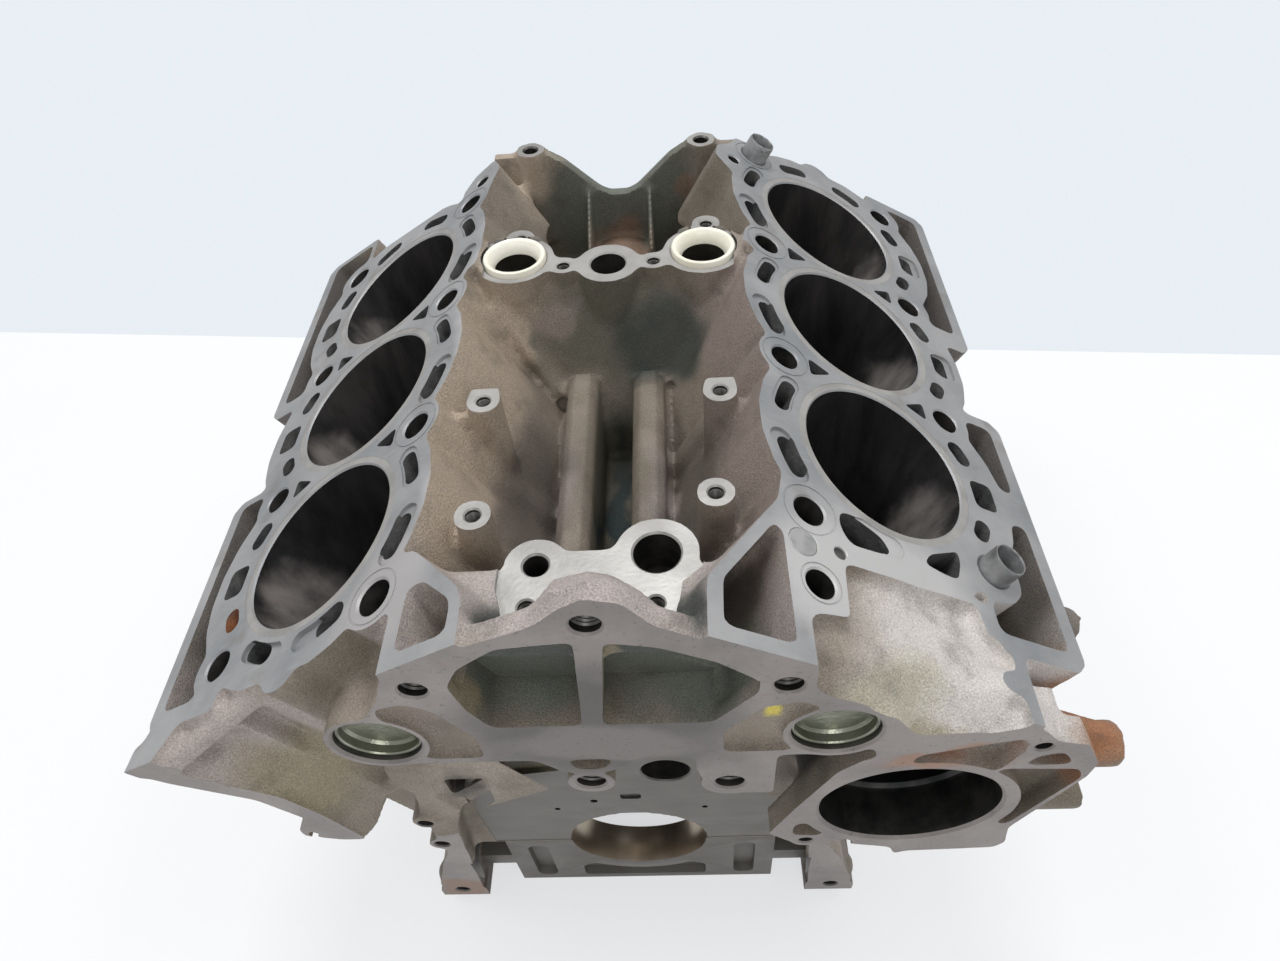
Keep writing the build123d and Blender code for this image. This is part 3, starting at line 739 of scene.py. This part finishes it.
def build_casting():
    piece = block_skin()
    dress(piece, *finishes)
    for finish, group in flat_faces():
        cut(piece, group, finish)
    for side in (-1, 1):
        normal = Vector((side * sin(half_angle), 0, cos(half_angle)))
        rim = (normal, deck_height, DECK)
        rings, cylinders = bores(side)
        deep, shallow = slots(side)
        holes, grooves = deck_holes(side)
        cut(piece, rings, PAD)
        cut(piece, cylinders, BORE, rim)
        cut(piece, deep, WALL)
        cut(piece, shallow, DECK)
        cut(piece, grooves, DECK)
        cut(piece, holes, DRILL, rim)
    for group in front_pockets():
        cut(piece, group, CAST)
    front = Vector((0, 1, 0))
    cut(piece, front_holes(), DRILL, (front, flange_station, FLANGE))
    cut(piece, crank_holes(), DRILL)
    cut(piece, valley_holes(), DRILL, (Vector((0, 0, 1)), pad_height, PAD))
    cut(piece, [column(crank_place, 0, 0, main_bore_radius, ahead, behind, 128)], BEARING)
    shade(piece)
    return piece


# Materials

def material(name, build, roughness=0.5, metallic=0.0):
    """A material; its build function adds the nodes and gives its colour."""
    made = bpy.data.materials.new(name)
    made.use_nodes = True
    tree = made.node_tree
    shader = tree.nodes["Principled BSDF"]
    shader.inputs["Roughness"].default_value = roughness
    shader.inputs["Metallic"].default_value = metallic
    tree.links.new(build(tree, shader), shader.inputs["Base Color"])
    return made


def add_node(tree, kind, inputs, operation=None):
    """A new node; each of its inputs takes a value, a colour or a link from another node."""
    node = tree.nodes.new("ShaderNode" + kind)
    if operation is not None:
        node.operation = operation
    for name, value in inputs.items():
        socket = node.inputs[name]
        if isinstance(value, bpy.types.NodeSocket):
            tree.links.new(value, socket)
        elif socket.type == "RGBA":
            socket.default_value = (*value, 1)
        else:
            socket.default_value = value
    return node


def coordinates(tree):
    """The object's own coordinates in metres, from one node for the whole tree."""
    node = tree.nodes.get("place")
    if node is None:
        node = add_node(tree, "TexCoord", {})
        node.name = "place"
    return node.outputs["Object"]


def noise(tree, scale, detail=4.0, rough=0.55, stretch=None):
    vector = coordinates(tree)
    if stretch is not None:
        vector = add_node(tree, "VectorMath", {0: vector, 1: stretch}, "MULTIPLY").outputs[0]
    inputs = {"Vector": vector, "Scale": scale, "Detail": detail, "Roughness": rough}
    return add_node(tree, "TexNoise", inputs).outputs["Fac"]


def ramp(tree, value, *stops):
    """A colour for each value; a stop is a value and its colour."""
    node = add_node(tree, "ValToRGB", {"Fac": value})
    elements = node.color_ramp.elements
    while len(elements) < len(stops):
        elements.new(0.5)
    for element, (position, colour) in zip(elements, stops):
        element.position = position
        element.color = (*colour, 1)
    return node.outputs["Color"]


def levels(tree, value, low, high, smooth=True):
    """Spreads the range low to high over 0 to 1."""
    node = add_node(tree, "MapRange", {"Value": value, "From Min": low, "From Max": high})
    node.interpolation_type = "SMOOTHSTEP" if smooth else "LINEAR"
    return node.outputs["Result"]


def times(tree, first, second):
    return add_node(tree, "Math", {0: first, 1: second}, "MULTIPLY").outputs[0]


def mix(tree, amount, first, second, kind="MIX"):
    """Lays a second colour over the first, by the amount and in the way that kind names."""
    node = add_node(tree, "Mix", {0: amount, 6: first, 7: second})
    node.data_type = "RGBA"
    node.blend_type = kind
    return node.outputs[2]


def bump(tree, shader, height, distance):
    node = add_node(tree, "Bump", {"Distance": distance, "Strength": 1.0, "Height": height})
    tree.links.new(node.outputs["Normal"], shader.inputs["Normal"])


wobble_reach = 30  # millimetres; the noise averages 0.5, so the mean shift is half of it


def wobble(tree):
    """The object's coordinates with soft irregular shifts, so that zones have natural edges."""
    node = tree.nodes.get("wobble")
    if node is None:
        source = add_node(tree, "TexNoise", {"Vector": coordinates(tree), "Scale": 35, "Detail": 5})
        shift = (wobble_reach * 0.001,) * 3
        inputs = {0: source.outputs["Color"], 1: shift, 2: coordinates(tree)}
        node = add_node(tree, "VectorMath", inputs, "MULTIPLY_ADD")
        node.name = "wobble"
    return node.outputs[0]


def spot(tree, centre, reach):
    """A mask that is 1 in the inner half of an ellipsoid and fades to 0 at its surface."""
    scale = [1000 / r for r in reach]
    offset = [-(c + wobble_reach / 2) / r for c, r in zip(centre, reach)]
    scaled = add_node(tree, "VectorMath", {0: wobble(tree), 1: scale, 2: offset}, "MULTIPLY_ADD")
    size = add_node(tree, "VectorMath", {0: scaled.outputs[0]}, "LENGTH")
    return levels(tree, size.outputs["Value"], 1.0, 0.5)


def zones(tree, colour, places):
    """Lays tones over a colour in turn; a zone is a centre, a reach in millimetres, a tone and a share."""
    for centre, reach, tone, amount in places:
        colour = mix(tree, times(tree, spot(tree, centre, reach), amount), colour, tone)
    return colour


# Tones of the cast skin, painted shade and sheen among them
pink = (0.43, 0.38, 0.36)
pale = (0.6, 0.565, 0.54)
olive = (0.16, 0.145, 0.105)
gold = (0.30, 0.26, 0.165)
tan = (0.42, 0.345, 0.27)
umber = (0.27, 0.22, 0.195)
dark_olive = (0.115, 0.112, 0.085)
pocket_green = (0.13, 0.145, 0.12)
hood_sheen = (0.44, 0.41, 0.3)
deep_teal = (0.035, 0.05, 0.05)
shade_teal = (0.04, 0.05, 0.046)
hollow_shade = (0.018, 0.018, 0.016)
channel_brown = (0.13, 0.12, 0.115)
oily_brown = (0.1, 0.085, 0.075)
rib_pink = (0.33, 0.28, 0.26)
rust = (0.36, 0.15, 0.06)
brown_rust = (0.25, 0.15, 0.10)
foot_brown = (0.07, 0.05, 0.04)
yellow = (0.75, 0.62, 0.10)


def both(centre, reach, tone, share):
    """The same zone on the left and on the right."""
    x, y, z = centre
    return [((-x, y, z), reach, tone, share), ((x, y, z), reach, tone, share)]


cast_zones = [
    ((0, -10, 290), (60, 50, 45), pink, 1.0),
    *both((60, 0, 262), (45, 50, 40), pink, 0.9),
    ((150, 0, 200), (90, 60, 50), pale, 1.0),
    # A painted sheen on the lower front of the right hood, in pale olive.
    ((112, -28, 212), (34, 26, 22), hood_sheen, 0.7),
    ((120, -28, 183), (30, 40, 18), gold, 0.8),
    ((-165, -10, 178), (60, 50, 60), pink, 0.8),
    ((-150, -10, 140), (40, 40, 40), gold, 0.8),
    *both((196, 200, 165), (34, 250, 60), channel_brown, 0.9),
    ((-60, 120, 235), (38, 150, 45), tan, 1.0),
    ((70, 120, 235), (38, 150, 45), umber, 0.9),
    # The valley bottom, darker in part as painted shade.
    ((0, 120, 150), (38, 120, 62), dark_olive, 0.8),
    ((-36, 84, 196), (26, 84, 40), oily_brown, 0.75),
    ((40, 70, 196), (28, 90, 44), oily_brown, 0.75),
    ((-50, 16, 216), (26, 22, 36), oily_brown, 0.7),
    ((54, 14, 216), (26, 22, 36), oily_brown, 0.7),
    *both((22, 95, 172), (12, 96, 36), rib_pink, 0.8),
    ((0, 95, 150), (9, 110, 60), deep_teal, 1.0),
    ((0, 190, 225), (60, 26, 50), dark_olive, 0.9),
    ((28, 190, 214), (32, 26, 34), shade_teal, 0.85),
    ((-30, 196, 226), (16, 16, 14), umber, 0.7),
    ((-52, 192, 214), (12, 22, 26), tan, 0.8),
    # Painted shade: the hollows under the cover face are made near black.
    ((-78, 8, 106), (18, 30, 30), hollow_shade, 0.95),
    ((80, 8, 140), (24, 34, 44), hollow_shade, 0.95),
    ((-46, 2, 104), (20, 10, 16), olive, 0.9),
    ((0, 350, 210), (75, 40, 80), pocket_green, 0.9),
    ((-60, 335, 235), (26, 40, 40), tan, 0.9),
    ((0, 262, 170), (30, 34, 18), brown_rust, 0.7),
    ((0, 326, 180), (26, 34, 22), brown_rust, 0.8),
    ((38, 334, 212), (14, 16, 16), brown_rust, 0.6),
    ((-24, -12, 226), (40, 26, 40), pocket_green, 0.95),
    ((30, -12, 226), (44, 26, 40), pocket_green, 0.95),
    # Painted shade along the tops of the pockets, under their rims.
    ((-24, -20, 256), (40, 20, 16), shade_teal, 0.9),
    ((30, -20, 256), (42, 20, 16), shade_teal, 0.9),
    ((-52, -22, 228), (10, 14, 26), gold, 0.9),
    ((4, -22, 235), (6, 14, 36), gold, 0.7),
    ((-80, -20, 205), (32, 16, 26), umber, 0.7),
    ((205, -10, 160), (34, 40, 34), rust, 0.9),
    ((150, -20, 172), (26, 20, 12), rust, 0.8),
    *both((106, 5, -50), (28, 44, 46), foot_brown, 0.9),
    ((150, -10, 68), (40, 40, 24), umber, 0.6),
    ((64, -15, 205), (6, 20, 6), yellow, 0.9),
    ((152, -20, 210), (5, 12, 6), yellow, 0.9),
]


def cast_iron(tree, shader):
    """Sand-cast skin: grainy, with dirt in blotches, a tone of its own at each place, and painted shade and a
    painted sheen at some places.
    """
    stops = ((0.32, (0.15, 0.13, 0.095)), (0.5, (0.24, 0.205, 0.165)), (0.68, (0.35, 0.3, 0.25)))
    tone = zones(tree, ramp(tree, noise(tree, 12, 6), *stops), cast_zones)
    blotch = levels(tree, noise(tree, 60, 5), 0.5, 0.72)
    tone = mix(tree, times(tree, blotch, 0.35), tone, (0.09, 0.075, 0.06))
    grain = noise(tree, 1400, 3, 0.6)
    speck = ramp(tree, grain, (0.3, (0.18, 0.18, 0.18)), (0.7, (0.84, 0.83, 0.82)))
    tone = mix(tree, 0.55, tone, speck, "OVERLAY")
    bump(tree, shader, grain, 0.0006)
    return tone


def machined_deck(tree, shader):
    """Bright milled iron with stains, long scratches and an uneven shine."""
    base = ramp(tree, noise(tree, 22, 7, 0.6), (0.34, (0.27, 0.28, 0.29)), (0.66, (0.4, 0.4, 0.4)))
    stain = levels(tree, noise(tree, 48, 6), 0.56, 0.75)
    tone = mix(tree, times(tree, stain, 0.4), base, (0.2, 0.165, 0.13))
    tone = zones(tree, tone, [
        # A painted sheen on the near end of the right deck.
        ((110, 15, 225), (70, 45, 60), (0.58, 0.57, 0.56), 0.8),
        ((-60, 150, 250), (16, 170, 34), (0.52, 0.51, 0.51), 0.7),
        ((-78, 10, 240), (30, 40, 40), (0.5, 0.47, 0.46), 0.6),
    ])
    scratch = noise(tree, 60, 3, 0.6, (1, 14, 1))
    tone = mix(tree, times(tree, levels(tree, scratch, 0.6, 0.7), 0.25), tone, (0.5, 0.5, 0.5))
    shine = levels(tree, noise(tree, 35, 5), -0.9, 1.6, False)
    tree.links.new(shine, shader.inputs["Roughness"])
    bump(tree, shader, noise(tree, 600, 2), 0.00008)
    return tone


def machined_flange(tree, shader):
    """Dull milled iron with dark pores and some rust."""
    base = ramp(tree, noise(tree, 26, 7, 0.6), (0.34, (0.2, 0.18, 0.17)), (0.66, (0.3, 0.27, 0.255)))
    tone = zones(tree, base, [
        ((0, flange_station, 205), (70, 30, 62), (0.09, 0.086, 0.08), 0.9),
        ((0, flange_station, 190), (52, 30, 16), (0.2, 0.18, 0.17), 0.8),
        ((150, flange_station, 190), (60, 30, 20), (0.3, 0.27, 0.25), 0.6),
        ((140, flange_station, 168), (34, 20, 12), rust, 0.55),
        ((-112, -12, -45), (22, 30, 22), brown_rust, 0.8),
    ])
    pores = noise(tree, 500, 3)
    tone = mix(tree, times(tree, levels(tree, pores, 0.6, 0.72), 0.5), tone, (0.06, 0.055, 0.05))
    bump(tree, shader, pores, 0.0001)
    return tone


def machined_bulkhead(tree, shader):
    """Dark milled iron, with faint upright streaks and oil stains."""
    streak = noise(tree, 30, 5, 0.5, (1, 1, 3))
    base = ramp(tree, streak, (0.3, (0.115, 0.105, 0.094)), (0.7, (0.15, 0.14, 0.125)))
    stain = levels(tree, noise(tree, 24, 5), 0.55, 0.75)
    tone = mix(tree, times(tree, stain, 0.5), base, (0.08, 0.072, 0.06))
    bump(tree, shader, noise(tree, 500, 2), 0.0001)
    return tone


def machined_pad(tree, shader):
    """The brightest milled faces."""
    base = ramp(tree, noise(tree, 50, 6), (0.35, (0.3, 0.29, 0.275)), (0.65, (0.42, 0.41, 0.39)))
    bump(tree, shader, noise(tree, 500, 2), 0.0001)
    return base


def honed_bore(tree, shader):
    """Dark glossy walls with honing streaks, and a painted highlight on the outer wall of each bore."""
    base = ramp(tree, noise(tree, 10, 4, 0.5), (0.35, (0.045, 0.045, 0.047)), (0.7, (0.09, 0.085, 0.083)))
    # A painted highlight on the outer wall of each bore.
    painted_highlights = []
    for side in (-1, 1):
        for station in bore_stations(side):
            painted_highlights.append((bank_place(side)(36, station - 10, 34), (30, 32, 42), (0.5, 0.46, 0.44), 0.85))
    base = zones(tree, base, painted_highlights)
    lines = noise(tree, 26, 4, 0.6, (3, 3, 0.5))
    streak = ramp(tree, lines, (0.35, (0.2, 0.2, 0.2)), (0.65, (0.8, 0.78, 0.76)))
    base = mix(tree, 0.6, base, streak, "OVERLAY")
    bump(tree, shader, noise(tree, 900, 2), 0.00005)
    return base


def main_bearing(tree, shader):
    """Bronze of the main bore, with soft bands of painted highlight along its axis."""
    highlight_bands = noise(tree, 8, 3, 0.5, (4, 1, 2))
    return ramp(tree, highlight_bands, (0.36, (0.2, 0.16, 0.11)), (0.64, (0.62, 0.53, 0.43)))


def drilled(tree, shader):
    """Walls of holes, with painted shade that makes the pump bore darkest."""
    base = ramp(tree, noise(tree, 90, 5), (0.35, (0.07, 0.068, 0.066)), (0.65, (0.18, 0.17, 0.16)))
    return zones(tree, base, [((pump_x, 20, pump_z), (64, 80, 64), (0.012, 0.016, 0.015), 0.97)])


def cored_slot(tree, shader):
    """The walls of the coolant slots, one of them rusty."""
    base = ramp(tree, noise(tree, 70, 5), (0.35, (0.05, 0.053, 0.055)), (0.65, (0.16, 0.155, 0.15)))
    base = zones(tree, base, [(bank_place(-1)(49, 33, 10), (16, 14, 22), (0.5, 0.18, 0.05), 1.0)])
    bump(tree, shader, noise(tree, 500, 3), 0.0005)
    return base


def two_tone(first, second, scale):
    """Patches of two colours with a fine bump; scale sets the size of the patches."""
    def build(tree, shader):
        bump(tree, shader, noise(tree, 500, 3), 0.0002)
        return ramp(tree, noise(tree, scale, 5), (0.35, first), (0.65, second))
    return build


cast = material("cast_iron", cast_iron, 0.6, 0.1)
deck = material("machined_deck", machined_deck, 0.45, 0.45)
flange = material("machined_flange", machined_flange, 0.5, 0.25)
bulkhead = material("machined_bulkhead", machined_bulkhead, 0.45, 0.3)
pad = material("machined_pad", machined_pad, 0.42, 0.4)
bore = material("honed_bore", honed_bore, 0.26, 0.6)
bearing = material("main_bearing", main_bearing, 0.28, 0.9)
drill = material("drilled_hole", drilled, 0.42, 0.9)
plug_steel = material("plug_steel", two_tone((0.2, 0.21, 0.16), (0.36, 0.37, 0.3), 40), 0.3, 0.8)
dowel_steel = material("dowel_steel", two_tone((0.24, 0.245, 0.25), (0.4, 0.4, 0.4), 80), 0.32, 0.75)
gallery_steel = material("gallery_steel", two_tone((0.3, 0.3, 0.3), (0.42, 0.42, 0.41), 120), 0.45, 0.4)
bolt_steel = material("bolt_steel", two_tone((0.05, 0.048, 0.045), (0.12, 0.11, 0.1), 90), 0.45, 0.6)
cream = material("cream_plastic", two_tone((0.84, 0.8, 0.66), (0.92, 0.9, 0.8), 30), 0.3)
# Near-black plastic: painted shade for the inside of the sleeves below their throats.
sleeve_shade = material("painted_shade_plastic", two_tone((0.02, 0.02, 0.017), (0.045, 0.04, 0.032), 40), 0.3)
cap_iron = material("cap_iron", machined_bulkhead, 0.5, 0.25)
slot_wall = material("slot_wall", cored_slot, 0.5, 0.3)

# Finishes of the casting, and their places among its materials
finishes = (cast, deck, flange, bulkhead, pad, bore, bearing, drill, slot_wall)
CAST, DECK, FLANGE, BULKHEAD, PAD, BORE, BEARING, DRILL, WALL = range(9)


def put_in_place(piece, node, made=None):
    """A piece shown in place of a CAD node, which is hidden; the piece rides the root body."""
    if made is not None:
        dress(piece, made)
    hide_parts(node)
    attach(piece, "root")


block = build_casting()
put_in_place(block, "cylinder_block")


# Smaller pieces

def ring_piece(name, place, u, v, profile, sides):
    """A hollow round piece: the profile goes round its wall."""
    rings = [circle(place, u, v, radius, depth, sides) for radius, depth in profile]
    piece = mesh_object(name, [band(rings)])
    shade(piece)
    return piece


def core_plug(flip):
    """A pressed cup, with a rolled lip and a step round its floor."""
    wall = core_plug_radius - 0.1
    front = core_plug_setback
    back = front + core_plug_height
    profile = [
        (0.01, back), (wall - 2.5, back), (wall - 0.8, back - 0.8), (wall, back - 2.5), (wall, front + 0.6),
        (wall - 0.5, front), (wall - 1.2, front), (wall - 1.7, front + 0.6), (wall - 1.8, back - 3.6),
        (wall - 2.8, back - 2.3), (wall - 4.6, back - 1.9), (0.01, back - 1.5),
    ]
    piece = mesh_object("core_plug", [turned(front_place, flip * core_plug_x, core_plug_z, profile, 72)])
    shade(piece)
    return piece


def sleeve(flip):
    """A cream plastic sleeve with a wide funnel mouth, with painted shade inside below its throat."""
    profile = [
        (13.2, 21), (16.9, 21), (17, 0.6), (17, -1.6), (16.6, -2.6), (15.9, -3), (15.1, -2.9), (14.2, -2.2),
        (12.6, 0.6), (11.6, 3.2), (11.5, 4.4), (13.2, 5.4),
    ]
    piece = ring_piece("sleeve", plan_place, flip * sleeve_x, sleeve_station, profile, 72)
    # The second material, near black, is painted shade on the faces inside below the throat.
    dress(piece, cream, sleeve_shade)
    throat = 6.5
    for face in piece.data.polygons:
        x, y, z = face.center * 1000
        if z < pad_height - throat and hypot(x - flip * sleeve_x, y - sleeve_station) < 14:
            face.material_index = 1
    return piece


def head_dowel(a, y):
    """A thin steel tube with bevelled rims."""
    outer = dowel_radius
    inner = outer - 1.1
    bottom = dowel_seat_depth
    top = -dowel_proud
    profile = [
        (inner, bottom), (outer, bottom), (outer, top + 1.2), (outer - 0.4, top), (inner + 0.3, top),
        (inner, top + 0.6),
    ]
    return ring_piece("head_dowel", bank_place(1), a, y, profile, 56)


def gallery_plug():
    """A plug ground level with the deck, with a faint bevel round it."""
    radius = plug_seat_radius - 0.1
    profile = [(0.01, 8), (radius, 8), (radius, 0.35), (radius - 0.35, 0.02), (0.01, 0.02)]
    piece = mesh_object("gallery_plug", [turned(bank_place(1), plug_a, plug_y, profile, 48)])
    shade(piece)
    return piece


for flip, name in ((-1, "core_plug_left"), (1, "core_plug_right")):
    put_in_place(core_plug(flip), name, plug_steel)
for flip, name in ((-1, "valley_sleeve_left"), (1, "valley_sleeve_right")):
    put_in_place(sleeve(flip), name)
for name, side, i in (("front_head_dowel", 1, 0), ("rear_head_dowel", -1, -1)):
    dowel = head_dowel(side * head_bolt_offset, bolt_stations(1)[i])
    put_in_place(dowel, name, dowel_steel)
put_in_place(gallery_plug(), "gallery_plug", gallery_steel)


def front_cap():
    """The front bearing cap, with round-ended slots, and thin in the middle behind its face."""
    arch = [(main_bore_radius * cos(pi * i / 48), -main_bore_radius * sin(pi * i / 48)) for i in range(49)]
    outline = [(79, 0), (79, -24), (98, -24), (98, -38), (79, -38), (79, cap_bottom)]
    outline += [(-x, z) for x, z in reversed(outline)]
    piece = mesh_object("front_cap", [prism(crank_place, outline + arch[::-1], 0, cap_thickness)])
    upright = [rounded_box(flip * 61.5, -35, 12.5, 52, 6.2) for flip in (-1, 1)]
    cut(piece, [prism(crank_place, shape, -over, 5) for shape in upright])
    low = [(-38, -46), (-34, -43)]
    low += [(50 * sin(t), -50 * cos(t)) for t in [radians(-36 + 6 * k) for k in range(13)]]
    low += [(34, -43), (38, -46), (38, -62), (-38, -62)]
    cut(piece, [prism(crank_place, rounded(low, 3), -over, 5)])
    cut(piece, [box(own_place, -46, 46, 21, cap_thickness + over, -90, over)])
    middle = cap_thickness / 2
    for flip in (-1, 1):
        x = flip * cap_bolt_x
        cut(piece, [box(own_place, x - 12, x + 12, middle - 12, middle + 12, -90, -58)])
        cut(piece, [column(own_place, x, middle, 5.6, -90, 5)])
    soften_edges(piece, 0.8)
    apply_modifiers(piece)
    shade(piece)
    dress(piece, cap_iron, bearing)
    for face in piece.data.polygons:
        x, _, z = face.center * 1000
        if abs(hypot(x, z) - main_bore_radius) < 0.4 and abs(face.normal.y) < 0.5:
            face.material_index = 1
    return piece


put_in_place(front_cap(), "front_main_cap")


def finish_node(name, made, width):
    """A CAD node keeps its own shape, with softened edges."""
    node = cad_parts[name]
    dress(node, made)
    soften_edges(node, width)


for name in ("main_cap_2", "main_cap_3", "rear_main_cap"):
    finish_node(name, cap_iron, 0.8)
finish_node("main_cap_bolts", bolt_steel, 0.4)


# Floor, light and camera

def floor_paper(tree, shader):
    """White paper, which the camera and reflections see with only part of its shadows."""
    tone = ramp(tree, noise(tree, 6, 3), (0.3, (0.9, 0.905, 0.91)), (0.7, (0.92, 0.925, 0.93)))
    bump(tree, shader, noise(tree, 300, 3), 0.00005)
    white = add_node(tree, "Emission", {"Color": (0.95, 0.96, 0.975)})
    path = add_node(tree, "LightPath", {})
    rays = {0: path.outputs["Is Camera Ray"], 1: path.outputs["Is Glossy Ray"]}
    share = times(tree, add_node(tree, "Math", rays, "MAXIMUM").outputs[0], 0.65)
    choose = add_node(tree, "MixShader", {0: share, 1: shader.outputs[0], 2: white.outputs[0]})
    tree.links.new(choose.outputs[0], tree.nodes["Material Output"].inputs["Surface"])
    return tone


# The paper ends behind the block, along a slanting edge
low = cad_box[0].z * 1000
reach = 4000
corners = [(-reach, -reach, low), (reach, -reach, low), (reach, 101, low), (-reach, 953, low)]
floor = mesh_object("floor", [(corners, [[0, 1, 2, 3]])])
dress(floor, material("floor_paper", floor_paper, 0.7))


def studio_world():
    """Even studio light, with a pale blue-white wall behind for the camera alone."""
    world = bpy.data.worlds.new("studio")
    bpy.context.scene.world = world
    world.use_nodes = True
    tree = world.node_tree
    tree.nodes.clear()
    light = add_node(tree, "Background", {"Color": (0.97, 0.98, 1.0), "Strength": 0.55})
    wall = add_node(tree, "Background", {"Color": (0.81, 0.86, 0.91), "Strength": 1.0})
    camera_ray = add_node(tree, "LightPath", {}).outputs["Is Camera Ray"]
    choose = add_node(tree, "MixShader", {0: camera_ray, 1: light.outputs[0], 2: wall.outputs[0]})
    add_node(tree, "OutputWorld", {"Surface": choose.outputs[0]})


def soft_light(name, place, target, size, power):
    """A square lamp in metres and watts, turned to a target."""
    lamp = bpy.data.lights.new(name, "AREA")
    lamp.shape = "SQUARE"
    lamp.size = size
    lamp.energy = power
    made = bpy.data.objects.new(name, lamp)
    made.location = place
    made.rotation_mode = "QUATERNION"
    made.rotation_quaternion = (Vector(target) - Vector(place)).to_track_quat("-Z", "Y")
    bpy.context.scene.collection.objects.link(made)


studio_world()
block_middle = (0, 0.15, 0.1)
soft_light("overhead", (0, 1.1, 2.8), block_middle, 0.8, 32)
soft_light("left", (-1.5, 0.2, 2.6), block_middle, 0.8, 13)
soft_light("right", (1.5, 0.2, 2.6), block_middle, 0.8, 13)
soft_light("front", (0.3, -2.3, 2.0), (0, 0.05, 0.1), 1.0, 14)

# The camera as solved from the photograph, in metres
lens = bpy.data.cameras.new("camera")
lens.sensor_width = 36
lens.lens = 24.49
lens.clip_start = 0.01
camera = bpy.data.objects.new("camera", lens)
bpy.context.scene.collection.objects.link(camera)
right = Vector((0.99752, 0.00548, -0.07017))
down = Vector((-0.04221, -0.75126, -0.65866))
forward = Vector((-0.05633, 0.65999, -0.74916))
camera.matrix_world = Matrix((
    (right.x, -down.x, -forward.x, 0.03794),
    (right.y, -down.y, -forward.y, -0.17809),
    (right.z, -down.z, -forward.z, 0.51772),
    (0, 0, 0, 1),
))
bpy.context.scene.camera = camera
bpy.context.scene.view_settings.view_transform = "Standard"
